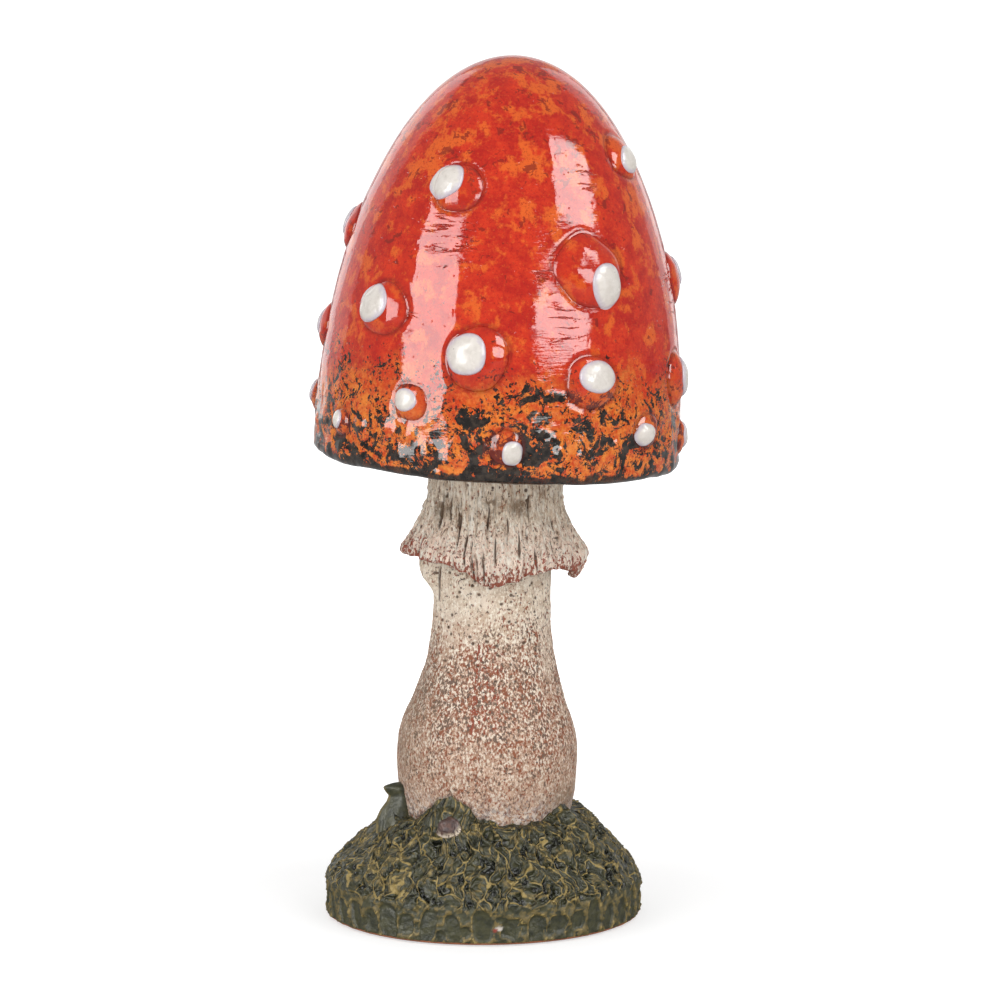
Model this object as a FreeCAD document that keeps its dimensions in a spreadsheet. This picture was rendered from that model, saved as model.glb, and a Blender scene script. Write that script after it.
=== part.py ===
"""A ceramic mushroom ornament: a hollow glazed cap with raised warts on a leaning stem, in a mossy foot."""
import FreeCAD, Part
import math
import os
from types import SimpleNamespace

import Sketcher
from FreeCAD import Vector

# Lengths in millimetres. The foot's heights are above the ground. The stem's stretches follow each other
# up its own leaning axis, the veil ring's hang down from the stem's shoulder, and the cap's heights
# start at the plane of its rim.
LENGTHS = {
    # Felt disc and mossy foot
    "felt_margin": 3.6,
    "felt_thickness": 1.5,
    "felt_proud": 0.3,
    "foot_radius": 36.6,
    "foot_edge_round": 0.8,
    "foot_wall_height": 8.8,
    "mound_shelf": 2.9,
    "mound_height": 24.0,
    "vent_radius": 6.0,
    "wall_groove_radius": 1.5,
    "wall_groove_depth": 0.6,
    "pit_radius": 3.2,
    "pit_depth": 0.9,
    # Stem
    "stem_foot_offset": 0.25,
    "socket_floor_height": 12.0,
    "stem_foot_radius": 19.6,
    "belly_swell": 1.3,
    "belly_rise": 13.0,
    "neck_radius": 13.5,
    "waist_rise": 38.0,
    "neck_length": 34.5,
    "spigot_radius": 10.5,
    "spigot_length": 9.0,
    "bore_radius": 7.5,
    "slip_gap": 0.15,
    # Veil ring round the neck
    "veil_wall": 1.9,
    "veil_edge": 2.3,
    "sleeve_length": 10.0,
    "flare_drop": 13.1,
    "flare_spread": 6.0,
    "hem_drop": 7.5,
    "hem_turn_in": 2.0,
    "notch_radius": 23.0,
    "notch_depth": 5.2,
    "furrow_radius": 1.2,
    "furrow_depth": 0.7,
    # Cap shell, its underside and the filler that bonds it to the stem
    "cap_radius": 42.2,
    "dome_height": 89.0,
    "hem_height": 4.0,
    "cap_wall": 4.5,
    "rim_wall": 3.2,
    "rim_round": 2.0,
    "gill_recess": 3.0,
    "plate_thickness": 4.0,
    "plate_rim_width": 1.4,
    "gill_depth": 1.2,
    "bond_gap": 0.7,
    "bond_fillet": 1.8,
    # Warts and the white drops on them
    "wart_size": 14.0,
    "wart_proud": 2.5,
    "spot_size": 9.3,
    "spot_proud": 0.8,
    # Moss tufts, the leaf of moss on the left and the bud in front
    "tuft_size": 7.0,
    "leaf_spread": 5.6,
    "leaf_rise": 6.4,
    "leaf_thickness": 6.5,
    "bud_size": 5.0,
    # How far a tool for a cut runs past what it cuts
    "overrun": 2.0,
}

# Angles in degrees
ANGLES = {
    "stem_lean": 1.8,
    "cap_tilt": 2.9,
    "leaf_azimuth": -168.0,
}
FULL_TURN = 360
QUARTER_TURN = 90

GILL_COUNT = 48

# Grooves between the upright leaves of the foot's wall, and how far each sways, as a share of the pitch
WALL_GROOVE_COUNT = 40
GROOVE_SWAY_SHARE = 0.22
# Furrows down the veil ring's flare, each as a share of the flare's chord, and how far each slides along it
FURROW_COUNT = 22
FURROW_LENGTH_SHARE = 0.6
FURROW_SLIDE_SHARE = 0.12
# Pits scattered over the mound: each turns on by the same angle in degrees, between two shares of the slope
PIT_COUNT = 60
PIT_TURN = 137.5
PIT_SPREAD_SHARES = (0.10, 0.88)

# Radii of the mound's, the flare's and the hem's round sides as shares of their chords
MOUND_ARC_SHARE = 2.5
FLARE_ARC_SHARE = 1.9
HEM_ARC_SHARE = 1.6
# Share of the way from belly to waist where the stem's outline changes from swelling to hollow
TURNING_SHARE = 0.3
# Share of the flare's drop where the veil ring's inside leaves the neck
GRIP_SHARE = 0.35
# Share of a gill's pitch that its groove takes
GROOVE_SHARE = 0.45
# Radius of the filler's hollow edge as a share of its chord
FILLET_ARC_SHARE = 0.95
# Depth of a wart's and a drop's centre below the surface it stands on, as a share of its thickness
WART_SUNK_SHARE = 0.35
SPOT_SUNK_SHARE = 0.5

# Directions of the veil ring's notches, in degrees from the right, the front being at -90
NOTCH_AZIMUTHS = (-132, -50, 30, 87, 143)

# Each wart: direction round the cap and rise up the dome in degrees, then its width and height as
# shares of the wart size, then the drop's place across and up it as shares of the wart's half width
# and half height, and the drop's width and height as shares of the drop size
WART_SHARES = {
    "upper": (
        (-112, 43, 0.80, 0.82, -0.50, 0.20, 0.86, 0.94),
        (-24, 50, 0.80, 0.75, 0.50, -0.30, 0.70, 0.65),
        (-60, 30, 1.20, 1.15, 0.48, -0.46, 0.84, 1.10),
        (178, 32.7, 0.75, 0.80, -0.50, 0.10, 0.80, 0.85),
        (2, 26.5, 0.80, 0.90, 0.50, 0.15, 0.80, 0.85),
        (96, 45, 0.85, 0.85, 0.35, 0.20, 0.85, 0.90),
        (48, 36, 0.90, 0.95, -0.30, -0.25, 0.80, 0.90),
        (138, 31, 0.95, 1.00, 0.40, 0.10, 0.95, 0.90),
    ),
    "middle": (
        (-134, 21.5, 1.00, 0.85, -0.50, 0.15, 1.05, 0.98),
        (-98, 15.6, 1.02, 1.05, -0.32, 0.10, 1.02, 1.03),
        (-60.4, 12.5, 0.94, 0.86, 0.24, 0.20, 0.86, 0.77),
        (-16, 11.5, 0.80, 0.90, 0.50, 0.05, 0.85, 0.98),
        (179, 16.2, 0.70, 0.75, -0.50, 0.10, 0.75, 0.80),
        (24, 16.5, 0.85, 0.85, 0.30, 0.20, 0.85, 0.85),
        (72, 22, 1.05, 1.00, -0.35, 0.15, 1.00, 1.00),
        (108, 17, 0.90, 0.95, 0.40, -0.20, 0.90, 0.85),
        (148, 14, 0.80, 0.85, -0.30, 0.20, 0.80, 0.90),
    ),
    "rim": (
        (-118.8, 8.3, 0.60, 0.60, -0.30, 0.10, 0.58, 0.52),
        (-147.8, 3.6, 0.45, 0.42, -0.40, 0.20, 0.50, 0.46),
        (-88, 2.9, 0.57, 0.57, 0.40, -0.30, 0.53, 0.62),
        (-37.5, 4.9, 0.60, 0.55, -0.36, -0.18, 0.60, 0.58),
        (-5, 2.2, 0.55, 0.55, 0.40, 0.10, 0.60, 0.65),
        (177, 5.5, 0.50, 0.55, -0.40, 0.10, 0.55, 0.60),
        (20, 5, 0.55, 0.55, 0.30, 0.20, 0.60, 0.58),
        (48, 7.5, 0.65, 0.60, -0.30, 0.15, 0.62, 0.60),
        (76, 3.5, 0.50, 0.50, 0.30, -0.20, 0.55, 0.55),
        (100, 6, 0.60, 0.58, -0.35, 0.10, 0.60, 0.55),
        (128, 3.5, 0.52, 0.50, 0.30, 0.20, 0.55, 0.55),
        (154, 5, 0.58, 0.55, -0.30, -0.20, 0.60, 0.60),
    ),
}

# Each tuft of moss: its direction in degrees, then its distance from the stem's axis as a share of the
# stem's foot radius, its height as a share of the mound's, and its half thickness outwards, half width
# and half height as shares of the tuft size
TUFT_SHARES = {
    "moss_tuft_front": (-114, 1.0, 1.02, 0.58, 1.0, 1.0),
    "moss_tuft_right": (-31, 1.01, 0.94, 0.50, 0.86, 0.69),
    "moss_tuft_back": (62, 1.0, 0.98, 0.55, 1.0, 0.86),
    "moss_tuft_left": (128, 1.01, 0.94, 0.50, 0.90, 0.72),
}

# The bud, placed and sized in the same way, with its half sizes as shares of the bud size
BUD_SHARES = (-110, 1.24, 1.01, 0.44, 0.52, 0.44)

# The moss leaf's outline: shares of its spread beyond the stem's foot, and of its rise over the mound
LEAF_SHARES = {
    "root": (-0.45, -1.25),
    "heel": (0.84, -1.25),
    "hollow": (0.55, 0.39),
    "tip": (0.75, 0.82),
    "crest": (0.30, 1.0),
    "back": (-0.45, 0.81),
}
LEAF_ARC_SHARE = 0.9


class Measure:
    """A size that keeps its number beside the words that work it out from the sheet."""

    def __init__(self, number, words):
        self.number = number
        self.words = words

    def joined(self, sign, other, number):
        return Measure(number, f"({self.words} {sign} {other.words})")

    def __add__(self, other):
        other = measure(other)
        return self.joined("+", other, self.number + other.number)

    def __sub__(self, other):
        other = measure(other)
        return self.joined("-", other, self.number - other.number)

    def __mul__(self, other):
        other = measure(other)
        return self.joined("*", other, self.number * other.number)

    def __truediv__(self, other):
        other = measure(other)
        return self.joined("/", other, self.number / other.number)


def measure(value):
    """A plain number as a measure."""
    if isinstance(value, Measure):
        return value
    return Measure(float(value), f"({float(value)!r})")


def root(value):
    return Measure(math.sqrt(value.number), f"sqrt({value.words})")


def slope_angle(value):
    """The angle, in degrees, whose tangent is the value."""
    return Measure(math.degrees(math.atan(value.number)), f"atan({value.words})")


document = FreeCAD.newDocument("mushroom")
sheet = document.addObject("Spreadsheet::Sheet", "sizes")
for row, (name, value) in enumerate({**LENGTHS, **ANGLES}.items(), start=1):
    sheet.set(f"A{row}", name)
    sheet.set(f"B{row}", str(value))
    sheet.setAlias(f"B{row}", name)
document.recompute()

mm = SimpleNamespace(**{name: Measure(value, f"sizes.{name}") for name, value in LENGTHS.items()})
deg = SimpleNamespace(**{name: Measure(value, f"sizes.{name}") for name, value in ANGLES.items()})
zero = measure(0)


def place(across=zero, deep=zero, up=zero):
    """The words for a move by three measures."""
    return f"placement(vector({across.words}; {deep.words}; {up.words}); rotation(vector(0; 0; 1); 0))"


def turn(axis, angle):
    """The words for a turn about an axis given as three numbers or measures."""
    parts = "; ".join(measure(part).words for part in axis)
    return f"placement(vector(0; 0; 0); rotation(vector({parts}); {measure(angle).words}))"


ACROSS_AXIS = (1, 0, 0)
DEPTH_AXIS = (0, 1, 0)
UP_AXIS = (0, 0, 1)

# Heights and radii that several pieces share
belly_height = mm.mound_height + mm.belly_rise
waist_height = belly_height + mm.waist_rise
shoulder_height = waist_height + mm.neck_length
rim_height = shoulder_height - mm.gill_recess + mm.bond_gap
sleeve_radius = mm.neck_radius + mm.veil_wall
plate_top = mm.gill_recess + mm.plate_thickness
rebate_radius = mm.cap_radius - mm.rim_wall
socket_radius = mm.stem_foot_radius + mm.slip_gap
plate_hole_radius = mm.spigot_radius + mm.bond_gap
plate_radius = rebate_radius - mm.slip_gap
felt_radius = mm.foot_radius - mm.felt_margin

# The stem leans to the right about a point near the ground, and the cap tilts a little further
stem_seat = f"{place(across=zero - mm.stem_foot_offset)} * {turn(DEPTH_AXIS, deg.stem_lean)}"
cap_seat = f"{stem_seat} * {place(up=rim_height)} * {turn(DEPTH_AXIS, deg.cap_tilt - deg.stem_lean)}"
ground = place()

pieces = []


def piece(label, thing):
    """Names a finished piece and puts it on the list of those to write out."""
    thing.Label = label
    pieces.append(thing)
    return thing


class Bend:
    """A round side of an outline: its radius, and whether it swells out of the outline or into it."""

    def __init__(self, radius, swells=True):
        self.radius = radius
        self.swells = swells


def arc_radius(across, up, share):
    """The radius of a round side, as a share of its chord."""
    return root(across * across + up * up) * share


class Dome:
    """A quarter of an upright ellipse, from a corner level with its centre up to its top on the axis."""


def centre_of_bend(start, end, bend):
    """The centre of a round side, left of the way from start to end where the side swells out."""
    middle = (start + end) / 2
    chord = end - start
    reach = math.sqrt(bend.radius.number ** 2 - (chord.Length / 2) ** 2)
    left = Vector(-chord.y, chord.x, 0).normalize()
    return middle + left * (reach if bend.swells else -reach)


def angle_at(centre, point):
    return math.atan2(point.y - centre.y, point.x - centre.x)


def add_side(sketch, start, end, curve):
    """Adds one side, and gives its number with the numbers of its start and end points."""
    if curve is None:
        return sketch.addGeometry(Part.LineSegment(start, end), False), 1, 2
    if isinstance(curve, Bend):
        centre = centre_of_bend(start, end, curve)
        circle = Part.Circle(centre, Vector(*UP_AXIS), curve.radius.number)
        first, last = (start, end) if curve.swells else (end, start)
        arc = Part.ArcOfCircle(circle, angle_at(centre, first), angle_at(centre, last))
        side = sketch.addGeometry(arc, False)
        sketch.addConstraint(Sketcher.Constraint("Radius", side, curve.radius.number))
        sketch.setExpression(f"Constraints[{sketch.ConstraintCount - 1}]", curve.radius.words)
        return (side, 1, 2) if curve.swells else (side, 2, 1)
    centre = Vector(end.x, start.y, 0)
    ellipse = Part.Ellipse(end, Vector(end.x - start.x, start.y, 0), centre)
    side = sketch.addGeometry(Part.ArcOfEllipse(ellipse, 1.5 * math.pi, 2 * math.pi), False)
    sketch.exposeInternalGeometry(side)
    sketch.addConstraint(Sketcher.Constraint("Vertical", side + 1))
    sketch.addConstraint(Sketcher.Constraint("PointOnObject", side, 3, -2))
    return side, 1, 2


def fix_corner(sketch, side, point, across, up):
    """Holds a corner at its two measures from the sketch's origin."""
    if across.number == 0 and up.number == 0:
        sketch.addConstraint(Sketcher.Constraint("Coincident", side, point, -1, 1))
        return
    for kind, axis, value in (("DistanceX", -2, across), ("DistanceY", -1, up)):
        if value.number == 0:
            sketch.addConstraint(Sketcher.Constraint("PointOnObject", side, point, axis))
            continue
        sketch.addConstraint(Sketcher.Constraint(kind, -1, 1, side, point, value.number))
        sketch.setExpression(f"Constraints[{sketch.ConstraintCount - 1}]", value.words)


def outline(body, name, corners, plane="XZ_Plane"):
    """A closed outline through corners given as across, up and the curve, if any, to the next corner."""
    sketch = body.newObject("Sketcher::SketchObject", name)
    support = [feature for feature in body.Origin.OriginFeatures if feature.Role == plane][0]
    sketch.AttachmentSupport = [(support, "")]
    sketch.MapMode = "FlatFace"
    points = [Vector(corner[0].number, corner[1].number, 0) for corner in corners]
    sides = []
    for index, corner in enumerate(corners):
        curve = corner[2] if len(corner) > 2 else None
        sides.append(add_side(sketch, points[index], points[(index + 1) % len(corners)], curve))
        if isinstance(curve, Dome):
            centre_up = Sketcher.Constraint("DistanceY", -1, 1, sides[-1][0], 3, corner[1].number)
            sketch.addConstraint(centre_up)
            sketch.setExpression(f"Constraints[{sketch.ConstraintCount - 1}]", corner[1].words)
    for index, (side, first, last) in enumerate(sides):
        following, following_first, _ = sides[(index + 1) % len(sides)]
        sketch.addConstraint(Sketcher.Constraint("Coincident", side, last, following, following_first))
        fix_corner(sketch, side, first, corners[index][0], corners[index][1])
    return sketch


def turned_body(name, corners, seat):
    """A body turned from an outline about the upright axis of its seat."""
    body = document.addObject("PartDesign::Body", name)
    sketch = outline(body, f"{name}_outline", corners)
    turned = body.newObject("PartDesign::Revolution", f"{name}_turned")
    turned.Profile = sketch
    turned.ReferenceAxis = (sketch, ["V_Axis"])
    turned.Angle = FULL_TURN
    body.setExpression("Placement", seat)
    return body


def set_sizes(thing, **sizes):
    for name, value in sizes.items():
        thing.setExpression(name, value.words)
    return thing


def cylinder(name, radius, height, seat):
    thing = set_sizes(document.addObject("Part::Cylinder", name), Radius=radius, Height=height)
    thing.setExpression("Placement", seat)
    return thing


def ellipsoid(name, along, across, upright, seat):
    """An ellipsoid by its half sizes along the seat's X, Y and Z."""
    thing = document.addObject("Part::Ellipsoid", name)
    set_sizes(thing, Radius1=upright, Radius2=along, Radius3=across)
    thing.setExpression("Placement", seat)
    return thing


def cut(name, base, *tools):
    """What is left of a base when each tool in turn has taken its room out of it."""
    for index, tool in enumerate(tools):
        left = document.addObject("Part::Cut", f"{name}_cut_{index}")
        left.Base = base
        left.Tool = tool
        base = left
    return base


def group(name, members):
    thing = document.addObject("Part::MultiFuse", name)
    thing.Shapes = members
    return thing


def make_felt():
    piece("felt_disc", cylinder("felt", felt_radius, mm.felt_thickness, ground))


def make_wall_grooves():
    """The grooves between the flat upright leaves round the foot's wall."""
    reach = mm.foot_radius + mm.wall_groove_radius - mm.wall_groove_depth
    start = mm.felt_proud + mm.foot_edge_round
    height = mm.foot_wall_height - start + mm.overrun
    grooves = []
    for index in range(WALL_GROOVE_COUNT):
        azimuth = (index + GROOVE_SWAY_SHARE * math.sin(index * PIT_TURN)) * FULL_TURN / WALL_GROOVE_COUNT
        seat = f"{turn(UP_AXIS, azimuth)} * {place(across=reach, up=start)}"
        grooves.append(cylinder(f"wall_groove_{index}", mm.wall_groove_radius, height, seat))
    return group("wall_grooves", grooves)


def make_pits(run, rise):
    """The pits of the moss, scattered over a slope that draws in by a run over a rise."""
    chord = root(run * run + rise * rise)
    crown_share = MOUND_ARC_SHARE - math.sqrt(MOUND_ARC_SHARE ** 2 - 1 / 4)
    first, last = PIT_SPREAD_SHARES
    pits = []
    for index in range(PIT_COUNT):
        share = first + (last - first) * index / PIT_COUNT
        out = chord * (crown_share * 4 * share * (1 - share)) + mm.pit_radius - mm.pit_depth
        across = mm.foot_radius - run * share + rise / chord * out
        up = mm.foot_wall_height + rise * share + run / chord * out
        seat = f"{turn(UP_AXIS, index * PIT_TURN)} * {place(across=across, up=up)}"
        pits.append(ellipsoid(f"pit_{index}", mm.pit_radius, mm.pit_radius, mm.pit_radius, seat))
    return group("pits", pits)


def make_foot():
    """The moss mound with its recess for the felt, its vent and the leaning socket for the stem."""
    recess_radius = felt_radius + mm.slip_gap
    edge = mm.foot_edge_round
    top_radius = mm.stem_foot_radius + mm.mound_shelf
    run, rise = mm.foot_radius - top_radius, mm.mound_height - mm.foot_wall_height
    slope = arc_radius(run, rise, MOUND_ARC_SHARE)
    mound = turned_body("mound", [
        (mm.vent_radius, mm.felt_thickness),
        (recess_radius, mm.felt_thickness),
        (recess_radius, mm.felt_proud),
        (mm.foot_radius - edge, mm.felt_proud, Bend(edge)),
        (mm.foot_radius, mm.felt_proud + edge),
        (mm.foot_radius, mm.foot_wall_height, Bend(slope)),
        (top_radius, mm.mound_height),
        (mm.vent_radius, mm.mound_height),
    ], ground)
    socket_height = mm.mound_height - mm.socket_floor_height + mm.overrun
    socket_seat = f"{stem_seat} * {place(up=mm.socket_floor_height)}"
    socket = cylinder("socket", socket_radius, socket_height, socket_seat)
    piece("moss_base", cut("moss_base", mound, make_wall_grooves(), make_pits(run, rise), socket))
    return mound


def make_stem():
    """A hollow stem that swells low down, narrows to the neck and ends in a spigot inside the cap."""
    belly_radius = mm.stem_foot_radius + mm.belly_swell
    foot_arc = (mm.belly_rise * mm.belly_rise + mm.belly_swell * mm.belly_swell) / (mm.belly_swell * 2)
    narrowing = belly_radius - mm.neck_radius
    reach = (mm.waist_rise * mm.waist_rise + narrowing * narrowing) / (narrowing * 2)
    spigot_top = shoulder_height + mm.spigot_length
    stem = turned_body("stem", [
        (mm.bore_radius, mm.socket_floor_height),
        (mm.stem_foot_radius, mm.socket_floor_height),
        (mm.stem_foot_radius, mm.mound_height, Bend(foot_arc)),
        (belly_radius, belly_height, Bend(reach * TURNING_SHARE)),
        (belly_radius - narrowing * TURNING_SHARE, belly_height + mm.waist_rise * TURNING_SHARE,
         Bend(reach * (1 - TURNING_SHARE), swells=False)),
        (mm.neck_radius, waist_height),
        (mm.neck_radius, shoulder_height),
        (mm.spigot_radius, shoulder_height),
        (mm.spigot_radius, spigot_top),
        (mm.bore_radius, spigot_top),
    ], stem_seat)
    return piece("stem", stem)


def make_furrows(flare_radius, flare_height):
    """The furrows down the flare of the veil ring, along the chord of its hollow side."""
    spread, drop = mm.flare_spread, mm.flare_drop
    chord = root(spread * spread + drop * drop)
    hollow_share = FLARE_ARC_SHARE - math.sqrt(FLARE_ARC_SHARE ** 2 - 1 / 4)
    out = mm.furrow_radius - mm.furrow_depth - chord * hollow_share
    across = flare_radius - spread / 2 + drop / chord * out
    up = flare_height + drop / 2 + spread / chord * out
    middle = f"{place(across=across, up=up)} * {turn((0, -1, 0), slope_angle(spread / drop))}"
    length = chord * FURROW_LENGTH_SHARE
    furrows = []
    for index in range(FURROW_COUNT):
        azimuth = (index + GROOVE_SWAY_SHARE * math.sin(index * PIT_TURN)) * FULL_TURN / FURROW_COUNT
        slide = length * (FURROW_SLIDE_SHARE * math.cos(index * PIT_TURN) - 1 / 2)
        seat = f"{stem_seat} * {turn(UP_AXIS, azimuth)} * {middle} * {place(up=slide)}"
        furrows.append(cylinder(f"furrow_{index}", mm.furrow_radius, length, seat))
    return group("furrows", furrows)


def make_veil_ring():
    """The torn skirt: a sleeve on the neck that flares out to a hem with notches between its tips."""
    sleeve_end = shoulder_height - mm.sleeve_length
    flare_height = sleeve_end - mm.flare_drop
    flare_radius = sleeve_radius + mm.flare_spread
    hem_height = flare_height - mm.hem_drop
    hem_radius = flare_radius - mm.hem_turn_in
    hem_side = Bend(arc_radius(mm.hem_turn_in, mm.hem_drop, HEM_ARC_SHARE))
    flare_side = Bend(arc_radius(mm.flare_spread, mm.flare_drop, FLARE_ARC_SHARE), swells=False)
    ring = turned_body("veil", [
        (hem_radius - mm.veil_edge, hem_height),
        (hem_radius, hem_height, hem_side),
        (flare_radius, flare_height, flare_side),
        (sleeve_radius, sleeve_end),
        (sleeve_radius, shoulder_height),
        (mm.neck_radius, shoulder_height),
        (mm.neck_radius, flare_height + mm.flare_drop * GRIP_SHARE),
    ], stem_seat)
    notch_centre = hem_height + mm.notch_depth - mm.notch_radius
    notches = []
    for index, azimuth in enumerate(NOTCH_AZIMUTHS):
        seat = f"{stem_seat} * {place(up=notch_centre)} * {turn(UP_AXIS, azimuth)}"
        lying = f"{seat} * {turn(DEPTH_AXIS, QUARTER_TURN)}"
        notches.append(cylinder(f"notch_{index}", mm.notch_radius, flare_radius + mm.overrun, lying))
    furrows = make_furrows(flare_radius, flare_height)
    return piece("veil_ring", cut("veil_ring", ring, group("notches", notches), furrows))


def make_cap():
    """The cap shell: an upright half ellipsoid on a short hem, hollow, with a ledge for its underside."""
    crown = mm.hem_height + mm.dome_height
    outside = turned_body("cap_outside", [
        (zero, zero),
        (mm.cap_radius - mm.rim_round, zero, Bend(mm.rim_round)),
        (mm.cap_radius, mm.rim_round),
        (mm.cap_radius, mm.hem_height, Dome()),
        (zero, crown),
    ], cap_seat)
    inside = turned_body("cap_inside", [
        (zero, zero),
        (rebate_radius, zero),
        (rebate_radius, plate_top),
        (mm.cap_radius - mm.cap_wall, plate_top, Dome()),
        (zero, crown - mm.cap_wall),
    ], cap_seat)
    piece("cap", cut("cap", outside, inside))
    return outside


def make_cap_underside():
    """The plate of gills that closes the cap, with a hole for the stem's spigot."""
    body = turned_body("gill_plate", [
        (plate_hole_radius, mm.gill_recess),
        (plate_radius, mm.gill_recess),
        (plate_radius, plate_top),
        (plate_hole_radius, plate_top),
    ], cap_seat)
    pitch = 2 * math.pi / GILL_COUNT * GROOVE_SHARE
    inner_end = sleeve_radius + mm.bond_fillet + mm.plate_rim_width
    outer_end = plate_radius - mm.plate_rim_width
    sketch = outline(body, "groove_outline", [
        (inner_end, zero),
        (outer_end, zero),
        (outer_end, outer_end * pitch),
        (inner_end, inner_end * pitch),
    ], plane="XY_Plane")
    groove = body.newObject("PartDesign::Pocket", "groove")
    groove.Profile = sketch
    groove.Reversed = True
    set_sizes(groove, Length=mm.gill_recess + mm.gill_depth)
    gills = body.newObject("PartDesign::PolarPattern", "gills")
    gills.Originals = [groove]
    gills.Axis = (sketch, ["N_Axis"])
    gills.Angle = FULL_TURN
    gills.Occurrences = GILL_COUNT
    body.Tip = gills
    piece("cap_underside", body)


def make_cap_bond():
    """The filler between cap and stem: round the spigot, over the shoulder and in the corner outside."""
    half_gap = mm.bond_gap / 2
    inner = mm.spigot_radius + half_gap
    outer = sleeve_radius + mm.slip_gap
    drop = half_gap + mm.bond_fillet
    hollow = Bend(arc_radius(mm.bond_fillet, drop, FILLET_ARC_SHARE), swells=False)
    piece("cap_bond", turned_body("bond", [
        (inner, mm.gill_recess - half_gap),
        (outer, mm.gill_recess - half_gap),
        (outer, mm.gill_recess - drop, hollow),
        (outer + mm.bond_fillet, mm.gill_recess),
        (plate_hole_radius, mm.gill_recess),
        (plate_hole_radius, plate_top),
        (inner, plate_top),
    ], cap_seat))


def surface_seat(azimuth, rise):
    """The words for a seat on the cap's dome, its Z out of the surface and its X down the slope."""
    turned, lifted = math.radians(azimuth), math.radians(rise)
    out = mm.cap_radius * math.cos(lifted)
    up = mm.hem_height + mm.dome_height * math.sin(lifted)
    point = place(out * math.cos(turned), out * math.sin(turned), up)
    upright = slope_angle(mm.dome_height / mm.cap_radius / math.tan(lifted))
    return f"{cap_seat} * {point} * {turn(UP_AXIS, azimuth)} * {turn(DEPTH_AXIS, upright)}"


def mound_sizes(width, height, proud, sunk_share):
    """Half sizes of an ellipsoid that stands proud by a height and covers a width and a height."""
    footprint = 2 * math.sqrt(1 - sunk_share ** 2)
    return height / footprint, width / footprint, proud / (1 - sunk_share)


def make_wart(name, row):
    """One wart and the drop on it, both whole ellipsoids that the cap and the wart cut later."""
    azimuth, rise, width, height, drop_across, drop_up, drop_width, drop_height = row
    down, across, out = mound_sizes(mm.wart_size * width, mm.wart_size * height,
                                    mm.wart_proud * height, WART_SUNK_SHARE)
    seat = f"{surface_seat(azimuth, rise)} * {place(up=zero - out * WART_SUNK_SHARE)}"
    wart = ellipsoid(f"{name}_wart", down, across, out, seat)

    level = math.sqrt(1 - drop_across ** 2 - drop_up ** 2)
    lean_down = measure(-drop_up) / down
    lean_across = measure(drop_across) / across
    lean = root(lean_down * lean_down + lean_across * lean_across)
    tip = turn((zero - lean_across, lean_down, 0), slope_angle(lean * out / level))
    point = place(down * -drop_up, across * drop_across, out * level)
    half_down, half_across, half_out = mound_sizes(mm.spot_size * drop_width, mm.spot_size * drop_height,
                                                   mm.spot_proud * drop_height, SPOT_SUNK_SHARE)
    sunk = place(up=zero - half_out * SPOT_SUNK_SHARE)
    spot = ellipsoid(f"{name}_spot", half_down, half_across, half_out, f"{seat} * {point} * {tip} * {sunk}")
    return wart, spot


def make_warts(cap_outside):
    """Three tiers of warts and of their white drops, each tier a node of separate solids."""
    for tier, rows in WART_SHARES.items():
        pairs = [make_wart(f"{tier}_{index}", row) for index, row in enumerate(rows)]
        warts = group(f"{tier}_warts", [wart for wart, spot in pairs])
        spots = group(f"{tier}_spots", [spot for wart, spot in pairs])
        piece(f"warts_{tier}", cut(f"warts_{tier}", warts, cap_outside))
        piece(f"white_spots_{tier}", cut(f"white_spots_{tier}", spots, warts, cap_outside))


def lump(name, row, size):
    """An ellipsoid beside the stem, from its direction, place and half sizes in shares."""
    azimuth, reach, height, out, across, up = row
    point = place(across=mm.stem_foot_radius * reach, up=mm.mound_height * height)
    seat = f"{stem_seat} * {turn(UP_AXIS, azimuth)} * {point}"
    return ellipsoid(name, size * out, size * across, size * up, seat)


def make_leaf(mound, stem):
    """The fin of moss that stands against the stem's left side."""
    body = document.addObject("PartDesign::Body", "leaf")

    def corner(key, curve=None):
        out_share, up_share = LEAF_SHARES[key]
        out = mm.stem_foot_radius + mm.leaf_spread * out_share
        return out, mm.mound_height + mm.leaf_rise * up_share, curve

    heel_share, hollow_share = LEAF_SHARES["heel"], LEAF_SHARES["hollow"]
    heel_side = Bend(arc_radius(mm.leaf_spread * (heel_share[0] - hollow_share[0]),
                                mm.leaf_rise * (heel_share[1] - hollow_share[1]), LEAF_ARC_SHARE))
    sketch = outline(body, "leaf_outline", [
        corner("root"),
        corner("heel", heel_side),
        corner("hollow"),
        corner("tip"),
        corner("crest"),
        corner("back"),
    ])
    pad = body.newObject("PartDesign::Pad", "leaf_pad")
    pad.Profile = sketch
    pad.Midplane = True
    set_sizes(pad, Length=mm.leaf_thickness)
    body.setExpression("Placement", f"{stem_seat} * {turn(UP_AXIS, deg.leaf_azimuth)}")
    piece("moss_leaf", cut("moss_leaf", body, stem, mound))


def make_moss(mound, stem):
    """The tufts of moss that climb the stem, the leaf on the left and the bud in front."""
    tufts = {}
    for name, row in TUFT_SHARES.items():
        tufts[name] = piece(name, cut(name, lump(f"{name}_lump", row, mm.tuft_size), mound, stem))
    make_leaf(mound, stem)
    bud = lump("bud_lump", BUD_SHARES, mm.bud_size)
    piece("mushroom_bud", cut("mushroom_bud", bud, mound, tufts["moss_tuft_front"]))


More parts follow.
